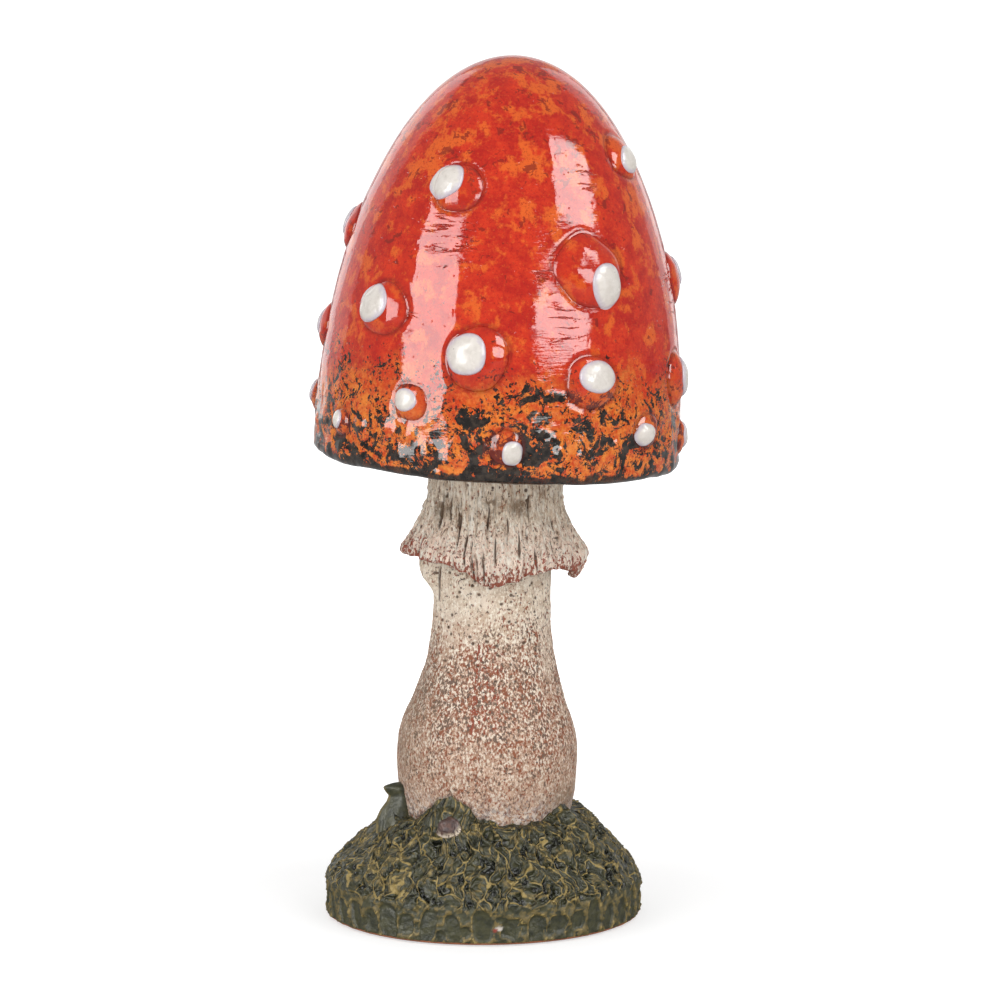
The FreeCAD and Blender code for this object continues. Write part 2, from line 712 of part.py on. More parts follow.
def write_pieces():
    """Checks every object and writes each piece to its own file."""
    document.recompute()
    for thing in document.Objects:
        if "Invalid" in thing.State or "Error" in thing.State:
            raise SystemExit(f"{thing.Name} did not recompute: {thing.State}")
    for thing in pieces:
        if thing.Shape.isNull() or not thing.Shape.isValid():
            raise SystemExit(f"{thing.Label} has no valid shape")
    os.makedirs("parts", exist_ok=True)
    for thing in pieces:
        thing.Shape.exportStep(f"parts/{thing.Label}.step")
        print(thing.Label, len(thing.Shape.Solids), "solids", round(thing.Shape.Volume, 1), "mm3")


make_felt()
mound = make_foot()
stem = make_stem()
make_veil_ring()
cap_outside = make_cap()
make_cap_underside()
make_cap_bond()
make_warts(cap_outside)
make_moss(mound, stem)
write_pieces()
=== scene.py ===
import math
from functools import partial

import bpy
import numpy as np
from mathutils import Matrix, Vector


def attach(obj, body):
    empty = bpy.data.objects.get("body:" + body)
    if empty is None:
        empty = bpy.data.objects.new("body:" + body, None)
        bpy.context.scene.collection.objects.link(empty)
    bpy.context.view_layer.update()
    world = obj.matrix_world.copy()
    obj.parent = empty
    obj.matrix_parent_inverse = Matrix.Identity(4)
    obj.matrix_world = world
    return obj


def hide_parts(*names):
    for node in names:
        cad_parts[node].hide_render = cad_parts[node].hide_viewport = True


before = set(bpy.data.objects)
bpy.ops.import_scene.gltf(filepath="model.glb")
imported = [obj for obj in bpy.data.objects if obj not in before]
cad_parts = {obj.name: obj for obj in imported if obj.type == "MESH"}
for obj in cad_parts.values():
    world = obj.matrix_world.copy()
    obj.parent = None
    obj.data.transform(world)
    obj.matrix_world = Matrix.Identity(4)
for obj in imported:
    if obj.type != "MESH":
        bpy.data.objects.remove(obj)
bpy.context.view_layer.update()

MM = 0.001
TAU = 2 * math.pi

# Sizes of the solids, in millimetres
STEM_LEAN, CAP_TILT = math.radians(1.8), math.radians(2.9)
STEM_OFFSET = -0.25
RIM_HEIGHT = 107.2
CAP_RADIUS, DOME_HEIGHT, HEM_HEIGHT = 42.2, 89.0, 4.0
SHOULDER, SPIGOT_TOP, SPIGOT_RADIUS, BORE_RADIUS = 109.5, 118.5, 10.5, 7.5
SOCKET_FLOOR, SLEEVE_RADIUS = 12.0, 13.4
FOOT_RADIUS, WALL_HEIGHT, COLLAR_RADIUS, COLLAR_HEIGHT = 36.6, 8.8, 22.5, 24.0
PIT_COUNT, WALL_LEAF_COUNT, FURROW_COUNT = 60, 40, 22

# Turns a running number into places that look scattered, and how far they sway from even steps
SCATTER, SWAY_SHARE = 137.5, 0.22

STEM_SEAT = Matrix.Translation((STEM_OFFSET, 0, 0)) @ Matrix.Rotation(STEM_LEAN, 4, "Y")
CAP_SEAT = (STEM_SEAT @ Matrix.Translation((0, 0, RIM_HEIGHT))
            @ Matrix.Rotation(CAP_TILT - STEM_LEAN, 4, "Y"))
GROUND = Matrix.Identity(4)


# Repeatable noise on arrays of points

def round_points(radius, angle, height, across, up):
    """Points for noise that closes round the axis, with its own sizes across and up."""
    parts = (radius * np.cos(angle) / across, radius * np.sin(angle) / across, height / up)
    return np.stack(np.broadcast_arrays(*parts), axis=-1)


class Noise:
    def __init__(self, seed):
        source = np.random.default_rng(seed)
        self.shuffled = np.tile(source.permutation(256), 2)
        ways = source.normal(size=(256, 3))
        self.ways = ways / np.linalg.norm(ways, axis=1)[:, None]
        self.spots = source.random((256, 3))

    def numbered(self, cell):
        cell = cell & 255
        first = self.shuffled[cell[..., 0]]
        second = self.shuffled[first + cell[..., 1]]
        return self.shuffled[second + cell[..., 2]]

    def soft(self, points):
        """Smooth noise, from about -1 to 1."""
        cell = np.floor(points).astype(int)
        inside = points - cell
        eased = inside ** 3 * (inside * (inside * 6 - 15) + 10)
        total = np.zeros(points.shape[:-1])
        for corner in np.ndindex(2, 2, 2):
            step = np.array(corner)
            share = np.prod(np.where(step == 1, eased, 1 - eased), axis=-1)
            way = self.ways[self.numbered(cell + step)]
            total += share * np.sum(way * (inside - step), axis=-1)
        return total * 1.6

    def rough(self, points, octaves=3):
        """Layers of smooth noise, each twice as fine as the one before."""
        total, size, whole = 0.0, 1.0, 0.0
        for octave in range(octaves):
            total = total + self.soft(points * 2 ** octave + octave * 17.3) * size
            whole += size
            size *= 0.5
        return total / whole * 1.4

    def soft_round(self, radius, angle, height, across, up, shift=0):
        return self.soft(round_points(radius, angle, height, across, up) + shift)

    def rough_round(self, radius, angle, height, across, up, shift=0, octaves=3):
        return self.rough(round_points(radius, angle, height, across, up) + shift, octaves)

    def cells(self, points, jitter=0.9):
        """Distances to the nearest and second nearest of scattered spots, and the nearest one's number."""
        cell = np.floor(points).astype(int)
        inside = points - cell
        first = np.full(points.shape[:-1], 9.0)
        second = first.copy()
        number = np.zeros(points.shape[:-1])
        for neighbour in np.ndindex(3, 3, 3):
            step = np.array(neighbour) - 1
            index = self.numbered(cell + step)
            spot = step + 0.5 + (self.spots[index] - 0.5) * jitter
            far = np.linalg.norm(spot - inside, axis=-1)
            nearer = far < first
            second = np.where(nearer, first, np.minimum(second, far))
            number = np.where(nearer, index / 255, number)
            first = np.where(nearer, far, first)
        return first, second, number


def smooth(value, low, high):
    """0 below low, 1 above high, eased between."""
    share = np.clip((value - low) / (high - low), 0, 1)
    return share * share * (3 - 2 * share)


def mixed(a, b, share):
    return a + (b - a) * share


def turned_by(angle, table):
    """A value that follows a table of (degrees, value) round a full turn."""
    degrees = (np.degrees(angle) + 180) % 360 - 180
    keys = sorted(table)
    places = [keys[-1][0] - 360] + [key[0] for key in keys] + [keys[0][0] + 360]
    values = [keys[-1][1]] + [key[1] for key in keys] + [keys[0][1]]
    return np.interp(degrees, places, values)


def apart(angle, other):
    """Signed difference of two angles, from -pi to pi."""
    return (angle - other + math.pi) % TAU - math.pi


def beside(angle, degrees, wide):
    """1 in a direction, falling away over so many radians."""
    return np.exp(-(apart(angle, math.radians(degrees)) / wide) ** 2)


def mound(angle, height, degrees, level, wide, tall):
    """1 in a direction and at a height, falling away over so many radians and millimetres."""
    return np.exp(-(apart(angle, math.radians(degrees)) / wide) ** 2 - ((height - level) / tall) ** 2)


# Meshes from grids of points

def turns(columns):
    return np.arange(columns) / columns * TAU


def turned(radius, height, angle):
    """Points at radii, heights and angles round the axis."""
    return np.stack(np.broadcast_arrays(radius * np.cos(angle), radius * np.sin(angle), height), axis=-1)


def all_round(path, columns):
    """Radii and heights of a path, each repeated for every column."""
    path = np.array(path)
    return np.repeat(path[:, :1], columns, axis=1), np.repeat(path[:, 1:], columns, axis=1)


def skin(name, grids, seat, closed_up=False, poles=()):
    """One mesh from grids of points in millimetres, each with its attributes.

    A grid is (points [rows, columns, 3], attributes {name: [rows, columns]}), closed across. Poles
    names the ends, "low" or "high", that a single point closes.
    """
    corners, faces, loose = [], [], {}
    start = 0
    for points, attributes in grids:
        rows, columns = points.shape[:2]
        number = start + np.arange(rows * columns).reshape(rows, columns)
        corners.append(points.reshape(-1, 3))
        below = number if closed_up else number[:-1]
        above = np.roll(number, -1, axis=0) if closed_up else number[1:]
        right_below, right_above = np.roll(below, -1, axis=1), np.roll(above, -1, axis=1)
        faces += np.stack([below, right_below, right_above, above], axis=-1).reshape(-1, 4).tolist()
        for key, values in attributes.items():
            loose.setdefault(key, []).append(values.reshape(-1))
        start += rows * columns
        for pole in poles:
            end = 0 if pole == "low" else -1
            corners.append(points[end].mean(axis=0)[None])
            ring = np.stack([number[end], np.roll(number[end], -1)], axis=-1)
            if pole == "low":
                ring = ring[:, ::-1]
            faces += [[a, b, start] for a, b in ring.tolist()]
            for key, values in attributes.items():
                loose[key].append(np.array([values[end].mean()]))
            start += 1
    everywhere = np.concatenate(corners)
    turn = np.array(seat.to_3x3())
    everywhere = (everywhere @ turn.T + np.array(seat.translation)) * MM
    mesh = bpy.data.meshes.new(name)
    mesh.from_pydata(everywhere.tolist(), [], faces)
    mesh.polygons.foreach_set("use_smooth", np.ones(len(mesh.polygons), dtype=bool))
    for key, values in loose.items():
        layer = mesh.attributes.new(key, "FLOAT", "POINT")
        layer.data.foreach_set("value", np.concatenate(values).astype(np.float32))
    mesh.update()
    piece = bpy.data.objects.new(name, mesh)
    bpy.context.scene.collection.objects.link(piece)
    return piece


def finish_piece(piece, material, slot, *nodes):
    piece.data.materials.append(material)
    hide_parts(*nodes)
    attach(piece, "root")


# Materials from nodes

def linear(red, green, blue):
    """A screen colour of 0 to 255 as the linear colour that the shader takes."""
    return tuple(((c / 255 + 0.055) / 1.055) ** 2.4 if c > 10 else c / 255 / 12.92
                 for c in (red, green, blue)) + (1.0,)


def put(tree, socket, value):
    if isinstance(value, bpy.types.NodeSocket):
        tree.links.new(value, socket)
    elif value is not None:
        socket.default_value = value


def wired(tree, kind, *values, operation=None):
    """The outputs of a new node, with values or sockets put into its first inputs."""
    node = tree.nodes.new(kind)
    if operation:
        node.operation = operation
    for socket, value in zip(node.inputs, values):
        put(tree, socket, value)
    return node.outputs


class Finish:
    """A material, whose colour is laid on in layers. Colours are screen colours of 0 to 255."""

    def __init__(self, name, **settings):
        self.material = bpy.data.materials.new(name)
        self.material.use_nodes = True
        self.tree = self.material.node_tree
        self.shader = self.tree.nodes["Principled BSDF"].inputs
        for key, value in settings.items():
            self.shader[key.replace("_", " ")].default_value = value
        self.here = self.tree.nodes.new("ShaderNodeTexCoord").outputs["Object"]
        self.colour = None

    def attribute(self, name):
        node = self.tree.nodes.new("ShaderNodeAttribute")
        node.attribute_name = name
        return node.outputs["Fac"]

    def flow(self):
        """Places along a flow over the surface, which the mesh brings with it."""
        parts = [self.attribute(key) for key in ("flow_x", "flow_y", "flow_z")]
        return wired(self.tree, "ShaderNodeCombineXYZ", *parts)["Vector"]

    def pattern(self, kind, size, stretch, shift, at=None, **settings):
        """A pattern node whose parts are about so many millimetres wide."""
        node = self.tree.nodes.new(kind)
        settings["Scale"] = 1000 / size
        for key, value in settings.items():
            node.inputs[key].default_value = value
        if at is None:
            moved = self.tree.nodes.new("ShaderNodeMapping")
            moved.inputs["Scale"].default_value = [1 / part for part in stretch]
            moved.inputs["Location"].default_value = (shift, shift * 0.7, shift * 1.3)
            put(self.tree, moved.inputs["Vector"], self.here)
            at = moved.outputs["Vector"]
        put(self.tree, node.inputs["Vector"], at)
        return node

    def noise(self, size, detail=3.0, rough=0.5, stretch=(1, 1, 1), shift=0.0, warp=0.0):
        """Noise from 0 to 1."""
        node = self.pattern("ShaderNodeTexNoise", size, stretch, shift,
                            Detail=detail, Roughness=rough, Distortion=warp)
        return node.outputs["Fac"]

    def cells(self, size, feature="F1", stretch=(1, 1, 1), shift=0.0, at=None):
        node = self.pattern("ShaderNodeTexVoronoi", size, stretch, shift, at)
        node.feature = feature
        return node.outputs["Distance"]

    def chained(self, operation, values):
        total = values[0]
        for value in values[1:]:
            total = wired(self.tree, "ShaderNodeMath", total, value, operation=operation)[0]
        return total

    def times(self, *values):
        return self.chained("MULTIPLY", values)

    def plus(self, *values):
        return self.chained("ADD", values)

    def step(self, value, low, high, first=0.0, last=1.0):
        """First below low, last above high, eased between."""
        node = self.tree.nodes.new("ShaderNodeMapRange")
        node.interpolation_type = "SMOOTHSTEP"
        for key, given in (("Value", value), ("From Min", low), ("From Max", high),
                           ("To Min", first), ("To Max", last)):
            put(self.tree, node.inputs[key], given)
        return node.outputs["Result"]

    def mix(self, share, first, second):
        node = self.tree.nodes.new("ShaderNodeMix")
        node.data_type = "RGBA"
        put(self.tree, node.inputs["Factor"], share)
        for key, colour in (("A", first), ("B", second)):
            put(self.tree, node.inputs[key], linear(*colour) if isinstance(colour, tuple) else colour)
        return node.outputs["Result"]

    def two_tone(self, value, low, high, first, second):
        return self.mix(self.step(value, low, high), first, second)

    def cover(self, share, paint):
        """Lays a share of a paint over the colour."""
        self.colour = self.mix(share, self.colour, paint)

    def paint(self, paint, value, low, high, most=1.0):
        """Lays a paint over the colour where a value passes from low to high."""
        self.cover(self.step(value, low, high, 0.0, most), paint)

    def done(self, rough, *bumps):
        """The material, with bumps whose heights of 0 to 1 stand for so many millimetres."""
        normal = None
        for height, depth in bumps:
            node = self.tree.nodes.new("ShaderNodeBump")
            node.inputs["Distance"].default_value = depth * MM
            put(self.tree, node.inputs["Height"], height)
            put(self.tree, node.inputs["Normal"], normal)
            normal = node.outputs["Normal"]
        put(self.tree, self.shader["Base Color"], self.colour)
        put(self.tree, self.shader["Normal"], normal)
        put(self.tree, self.shader["Roughness"], rough)
        return self.material


def glaze_finish():
    """Red gloss glaze, mottled with orange, that breaks to orange and black towards the rim."""
    f = Finish("cap_glaze", IOR=1.5)
    height = f.attribute("height")

    # Red ground, with soft orange blotches that are denser near the top
    fine = f.noise(1.3, 4, 0.65)
    blotch = f.noise(5.0, 4, 0.62, stretch=(1, 1, 1.1), warp=0.15, shift=0.013)
    blotch = f.plus(blotch, f.times(fine, 0.16), -0.08, f.step(height, 45, 78, -0.015, 0.03))
    f.colour = f.two_tone(f.noise(4.0, 4, 0.6, shift=0.03), 0.35, 0.65, (180, 27, 14), (208, 50, 20))
    f.paint((214, 66, 22), fine, 0.5, 0.75, 0.5)
    f.paint((226, 100, 32), blotch, 0.505, 0.63, 0.85)
    grain = f.noise(0.7, 3, 0.7, shift=0.05)
    f.paint((164, 22, 12), grain, 0.44, 0.34, 0.6)
    f.paint((230, 118, 48), grain, 0.55, 0.8, 0.45)
    f.paint((120, 14, 8), f.noise(0.45, 2, 0.6, shift=0.09), 0.56, 0.70, 0.35)

    # Dark maroon scars, more of them near the top
    scar = f.plus(f.noise(3.4, 4, 0.68, shift=0.07, warp=0.5), f.step(height, 30, 85, -0.05, 0.015))
    f.paint((126, 28, 14), scar, 0.595, 0.61, 0.75)

    # Orange zone below, with an uneven border
    border = f.noise(14.0, 4, 0.6, shift=0.11)
    low = f.plus(height, f.times(border, 26), -13, f.times(f.noise(2.2, 4, 0.7, shift=0.17), 12), -6)
    orange = f.two_tone(f.noise(2.6, 5, 0.65, shift=0.21), 0.38, 0.66, (200, 66, 22), (226, 124, 42))
    orange = f.mix(f.step(grain, 0.42, 0.7, 0.0, 0.5), orange, (236, 152, 70))
    f.cover(f.step(low, 14, 28, 1.0, 0.0), orange)

    # Black patches with ragged edges, and a black rim
    black = f.plus(f.times(f.noise(5.2, 7, 0.7, shift=0.25, warp=0.9), 0.76),
                   f.times(f.noise(1.5, 4, 0.75, shift=0.31), 0.24),
                   f.step(height, 2, 40, 0.075, -0.115), f.times(f.attribute("soot"), 0.07))
    burnt = f.two_tone(f.noise(1.6, 3, 0.6, shift=0.4), 0.4, 0.65, (24, 19, 17), (60, 50, 42))
    speck = f.plus(f.noise(0.9, 3, 0.7, shift=0.44), f.times(f.noise(7.0, 3, 0.6, shift=0.47), 0.5), -0.25,
                   f.step(height, 22, 38, 0.0, -0.2), f.step(height, 0, 12, 0.0, 0.02))
    f.paint(burnt, speck, 0.60, 0.62)
    f.paint(burnt, black, 0.552, 0.566)
    rim = f.plus(height, f.times(f.noise(5.0, 5, 0.65, shift=0.37), -6.5), 3.0)
    f.cover(f.step(rim, 1.2, 1.9, 0.93, 0.0), burnt)

    # Strokes of the coarse brush, dark red in their hollows
    dragged = f.attribute("brushed")
    strokes = f.noise(2.4, 4, 0.66, stretch=(3.2, 3.2, 0.62), shift=0.57, warp=0.8)
    strokes = f.step(f.plus(strokes, f.times(dragged, -0.08), 0.08), 0.38, 0.48, 1.0, 0.0)
    strokes = f.times(strokes, f.step(dragged, 0.1, 0.5))
    f.cover(f.times(strokes, 0.55), (150, 26, 14))

    # Glaze that is darker where it pools round a wart, and lighter on top of it
    f.cover(f.times(f.attribute("crease"), 0.55), (110, 18, 8))
    f.cover(f.times(f.attribute("wart"), 0.25), (196, 52, 20))

    # Fine strokes under the glaze, rougher in some places, and pinholes
    brushed = f.noise(1.0, 3, 0.6, stretch=(4.2, 4.2, 0.6), shift=0.5)
    worked = f.step(f.noise(9.0, 3, 0.6, shift=0.7), 0.48, 0.62, 0.25, 1.0)
    dents = f.noise(4.5, 2, 0.5, shift=0.55)
    pinholes = f.step(f.cells(2.6, shift=0.6), 0.03, 0.10)
    return f.done(f.step(f.noise(1.4, 3, 0.6, shift=0.65), 0.3, 0.75, 0.02, 0.055),
                  (dents, 0.05), (f.times(brushed, worked), 0.07), (strokes, -0.30), (pinholes, 0.09))


def white_finish():
    """Thick white glaze with a cold edge and fine specks."""
    f = Finish("white_glaze", IOR=1.5)
    edge = f.plus(f.attribute("edge"), f.times(f.noise(1.2, 3), 0.35))
    f.colour = f.two_tone(f.noise(1.8, 4, 0.6), 0.35, 0.7, (228, 221, 213), (216, 208, 199))
    f.paint((196, 186, 202), edge, 0.86, 1.16, 0.75)
    f.cover(f.step(f.cells(3.1, shift=0.04), 0.03, 0.10, 0.5, 0.0), (120, 104, 96))
    return f.done(f.step(f.noise(1.5, 3), 0.3, 0.7, 0.12, 0.3), (f.noise(2.2, 4, 0.55, shift=0.09), 0.16))


def stem_finish(name, skirt):
    """Pale wash rubbed back over red-brown clay, with pits that keep the dark, and painted shade in creases
    and under the ring.
    """
    f = Finish(name, Specular_IOR_Level=0.28)
    height, rust = f.attribute("height"), f.attribute("rust")

    # Cream wash, pinker towards the skirt's hem and a warmer tan over the stem's belly
    pale = f.two_tone(f.noise(4.0, 5, 0.65), 0.38, 0.62, (238, 222, 202), (212, 190, 166))
    uneven = f.noise(3.0, 4, 0.65, shift=0.05)
    if skirt:
        blush = f.step(f.plus(height, f.times(uneven, 10), -5), 88, 97, 0.85, 0.0)
        f.colour = f.mix(blush, pale, (246, 220, 202))
    else:
        warm = f.two_tone(uneven, 0.38, 0.64, (204, 170, 146), (178, 141, 117))
        border = f.plus(height, f.times(f.noise(9.0, 4, 0.6, shift=0.02), 24))
        f.colour = f.mix(f.step(border, 68, 90, 1.0, 0.0), pale, warm)

    # Fine specks drawn out along the stem: white grains, then tan, brown and red-brown hollows
    tall = 2.2 if skirt else 1.4
    grain = f.noise(0.55, 2, 0.6, stretch=(0.9, 0.9, tall), shift=0.12, warp=0.3)
    clouds = f.noise(9.0, 4, 0.65, stretch=(0.8, 0.8, 1.6), shift=0.15)
    flecks = f.plus(grain, f.times(f.noise(1.5, 3, 0.6, stretch=(1, 1, tall), shift=0.18), 0.30), -0.15)
    if skirt:
        dense = f.plus(f.times(clouds, 0.12), -0.15)
    else:
        dense = f.plus(f.step(height, 28, 46, -0.06, 0.0), f.step(height, 60, 76, 0.0, -0.105),
                       f.times(clouds, 0.34), -0.165)
    f.cover(f.times(f.step(flecks, 0.45, 0.39), f.step(height, 26, 60, 0.55, 0.9)), (248, 238, 222))
    clay = f.two_tone(f.noise(1.7, 3, 0.6, shift=0.2), 0.46, 0.54, (104, 84, 72), (146, 80, 52))
    f.paint(clay, f.plus(flecks, dense), 0.515, 0.55, 0.92)
    dots = f.step(f.cells(1.7, stretch=(1.1, 1.1, 0.75), shift=0.35), 0.12, 0.20, 1.0, 0.0)
    f.cover(f.times(dots, f.step(clouds, 0.44, 0.56, 0.15, 0.9)), (84, 66, 56))
    if skirt:
        # Cream ribs with brown between them
        mottle = f.noise(0.8, 3, 0.6, stretch=(1, 1, 9), shift=0.22, warp=0.2)
        f.paint((166, 134, 110), mottle, 0.58, 0.64, 0.68)
        f.paint((96, 74, 58), mottle, 0.66, 0.70, 0.85)
        f.paint((250, 242, 228), mottle, 0.46, 0.38, 0.85)
    else:
        # Pale crust and damp stains near the moss
        mottle = flecks
        crust = f.step(f.noise(1.1, 3, 0.65, shift=0.6), 0.50, 0.56)
        damp = f.step(f.noise(1.4, 3, 0.65, shift=0.66), 0.52, 0.58)
        f.cover(f.times(crust, f.step(height, 25, 33, 0.8, 0.0)), (226, 214, 204))
        f.cover(f.times(damp, f.step(height, 24, 34, 0.75, 0.0)), (112, 96, 96))
    # Dark clay kept in pits, cracks and slots, and painted shade in the crease by the fold, along the moss
    # edge and inside the ring
    f.paint((88, 66, 50), f.attribute("hollows_and_shade"), 0.25, 0.7, 0.9)
    # Brown stains, which on the ring's neck under the cap are painted shade too
    patchy = f.step(f.noise(1.2, 4, 0.65, shift=0.24), 0.34, 0.52)
    f.cover(f.times(f.attribute("stain_and_shade"), patchy), (140, 118, 96))
    rusted = f.plus(f.noise(0.75, 2, 0.6, stretch=(0.8, 0.8, 1.6), shift=0.3), f.times(rust, 0.19))
    f.cover(f.times(f.step(rusted, 0.62, 0.66, 0.0, 0.92), f.step(rust, 0.02, 0.2)), (150, 68, 44))
    return f.done(f.step(f.noise(1.2, 3, shift=0.5), 0.3, 0.7, 0.62, 0.85),
                  (f.noise(2.4, 4, 0.6, shift=0.4), 0.35), (mottle, -1.5 if skirt else -0.5))


def moss_finish():
    """Dark green hollows under ochre brushed over the ridges."""
    f = Finish("moss_clay", IOR=1.45)
    slope = f.attribute("slope")
    fine = f.noise(0.9, 4, 0.7)
    broad = f.noise(2.0, 4, 0.6, shift=0.05)

    # Thin ochre lines along the ridges, broken in places, and a finer net of crumbs
    flow = f.flow()
    net = f.cells(3.1, "DISTANCE_TO_EDGE", at=flow)
    low_net = f.cells(1.25, "DISTANCE_TO_EDGE", at=flow)
    worn = f.step(f.plus(f.noise(4.0, 3, 0.6, shift=0.13), f.times(fine, 0.2)), 0.46, 0.58)
    line = f.times(f.step(net, 0.018, 0.05, 1.0, 0.0), worn, slope)
    low_line = f.times(f.step(low_net, 0.03, 0.11, 1.0, 0.0), f.step(broad, 0.48, 0.6), slope)
    high = f.plus(f.attribute("ridge"), f.times(fine, 0.30), -0.15,
                  f.times(f.noise(6.0, 3, shift=0.02), 0.2), -0.10, f.times(low_line, 0.24),
                  f.times(line, 0.62), f.times(slope, f.step(low_net, 0.15, 0.3), -0.10))

    f.colour = f.two_tone(broad, 0.35, 0.65, (13, 14, 10), (30, 31, 21))
    f.paint(f.two_tone(broad, 0.35, 0.65, (46, 48, 31), (70, 69, 42)), high, 0.06, 0.22)
    olive = f.two_tone(f.noise(1.6, 4, 0.65, shift=0.08), 0.35, 0.65, (84, 76, 38), (120, 102, 54))
    f.paint(olive, high, 0.44, 0.56)
    f.paint((162, 139, 78), high, 0.72, 0.84, 0.92)
    f.paint((176, 108, 76), f.plus(f.attribute("foot"), f.times(fine, 0.6)), 0.75, 1.1)
    f.cover(f.attribute("chip"), (222, 214, 204))
    f.cover(f.attribute("chip_red"), (156, 58, 44))
    return f.done(f.step(high, 0.05, 0.6, 0.26, 0.62), (f.noise(1.6, 4, 0.6, shift=0.3), 0.3),
                  (f.times(f.step(net, 0.0, 0.16, 1.0, 0.0), slope), 0.40),
                  (f.times(f.step(low_net, 0.0, 0.4), slope), 0.50), (fine, 0.12))


def bud_finish():
    """Brown-purple bud with pale flecks round its foot."""
    f = Finish("bud_clay", IOR=1.45)
    f.colour = f.two_tone(f.noise(1.4, 4, 0.6), 0.35, 0.7, (62, 44, 42), (104, 76, 66))
    patchy = f.step(f.noise(0.7, 4, 0.7, shift=0.1), 0.42, 0.50)
    f.cover(f.times(f.attribute("fleck"), patchy), (222, 206, 182))
    return f.done(f.step(f.noise(1.0, 3), 0.3, 0.7, 0.3, 0.5), (f.noise(0.9, 4, 0.7, shift=0.2), 0.2))


def gill_finish():
    """Pale ochre clay with browner patches."""
    f = Finish("gill_clay", Specular_IOR_Level=0.3)
    f.colour = f.two_tone(f.noise(6.0, 5, 0.6), 0.35, 0.65, (196, 176, 148), (168, 144, 116))
    f.paint((122, 90, 68), f.noise(0.9, 4, 0.75, shift=0.1), 0.55, 0.66, 0.7)
    return f.done(f.step(f.noise(1.5, 3), 0.3, 0.7, 0.6, 0.85), (f.noise(1.0, 4, 0.7, shift=0.2), 0.3))


def filler_finish():
    """Pale brown bonding filler, smeared and matt."""
    f = Finish("bond_filler", Specular_IOR_Level=0.3)
    f.colour = f.two_tone(f.noise(2.5, 4, 0.6), 0.35, 0.65, (176, 154, 126), (140, 116, 92))
    return f.done(f.step(f.noise(1.5, 3), 0.3, 0.7, 0.55, 0.8), (f.noise(1.2, 4, 0.6, shift=0.2), 0.3))


def felt_finish():
    """Dark green pressed felt."""
    f = Finish("felt", Specular_IOR_Level=0.15, Sheen_Weight=0.25)
    fibres = f.noise(0.5, 5, 0.8)
    f.colour = f.two_tone(fibres, 0.35, 0.65, (28, 44, 32), (52, 68, 50))
    f.paint((38, 50, 40), f.noise(4.0, 3, shift=0.1), 0.4, 0.7, 0.4)
    return f.done(f.step(f.noise(1.0, 3, shift=0.2), 0.3, 0.7, 0.85, 0.98), (fibres, 0.25))


# Cap

CAP_LUMPS = Noise(11)
RIM_LUMPS = Noise(12)

# Each wart: direction and rise in degrees, width and height in shares of WART_SIZE, then its drop's
# place across and up in shares of its half sizes, and the drop's sizes in shares of SPOT_SIZE
WARTS = {
    "upper": (
        (-112, 43, 0.80, 0.82, -0.54, 0.20, 0.96, 0.96),
        (-25, 50, 0.84, 0.80, 0.08, -0.24, 0.82, 0.68),
        (-59.5, 29.6, 1.26, 1.22, 0.36, -0.40, 0.94, 1.10),
        (178, 32.7, 0.75, 0.80, -0.50, 0.10, 0.80, 0.85),
        (2, 26.5, 0.80, 0.90, 0.50, 0.15, 0.80, 0.85),
        (96, 45, 0.85, 0.85, 0.35, 0.20, 0.85, 0.90),
        (48, 36, 0.90, 0.95, -0.30, -0.25, 0.80, 0.90),
        (138, 31, 0.95, 1.00, 0.40, 0.10, 0.95, 0.90),
    ),
    "middle": (
        (-134, 21.5, 1.00, 0.87, -0.44, 0.15, 1.18, 1.00),
        (-98, 15.6, 1.02, 1.05, -0.32, 0.10, 1.02, 1.03),
        (-60.4, 12.5, 0.94, 0.86, 0.12, 0.20, 1.04, 0.80),
        (-16, 11.5, 0.80, 0.90, 0.50, 0.05, 0.85, 0.98),
        (179, 16.2, 0.70, 0.75, -0.50, 0.10, 0.75, 0.80),
        (24, 16.5, 0.85, 0.85, 0.30, 0.20, 0.85, 0.85),
        (72, 22, 1.05, 1.00, -0.35, 0.15, 1.00, 1.00),
        (108, 17, 0.90, 0.95, 0.40, -0.20, 0.90, 0.85),
        (148, 14, 0.80, 0.85, -0.30, 0.20, 0.80, 0.90),
    ),
    "rim": (
        (-118.8, 8.3, 0.60, 0.60, -0.26, 0.10, 0.68, 0.56),
        (-147.8, 3.6, 0.45, 0.42, -0.40, 0.20, 0.50, 0.46),
        (-88, 2.9, 0.57, 0.57, 0.40, -0.30, 0.53, 0.62),
        (-37.5, 4.9, 0.60, 0.55, -0.36, -0.18, 0.60, 0.58),
        (-5, 2.2, 0.55, 0.55, 0.40, 0.10, 0.60, 0.65),
        (177, 5.5, 0.50, 0.55, -0.40, 0.10, 0.55, 0.60),
        (20, 5, 0.55, 0.55, 0.30, 0.20, 0.60, 0.58),
        (48, 7.5, 0.65, 0.60, -0.30, 0.15, 0.62, 0.60),
        (76, 3.5, 0.50, 0.50, 0.30, -0.20, 0.55, 0.55),
        (100, 6, 0.60, 0.58, -0.35, 0.10, 0.60, 0.55),
        (128, 3.5, 0.52, 0.50, 0.30, 0.20, 0.55, 0.55),
        (154, 5, 0.58, 0.55, -0.30, -0.20, 0.60, 0.60),
    ),
}
WART_SIZE, WART_PROUD, SPOT_SIZE, SPOT_PROUD = 14.0, 2.2, 9.3, 0.8
OUTLINE_SHARE = 0.937

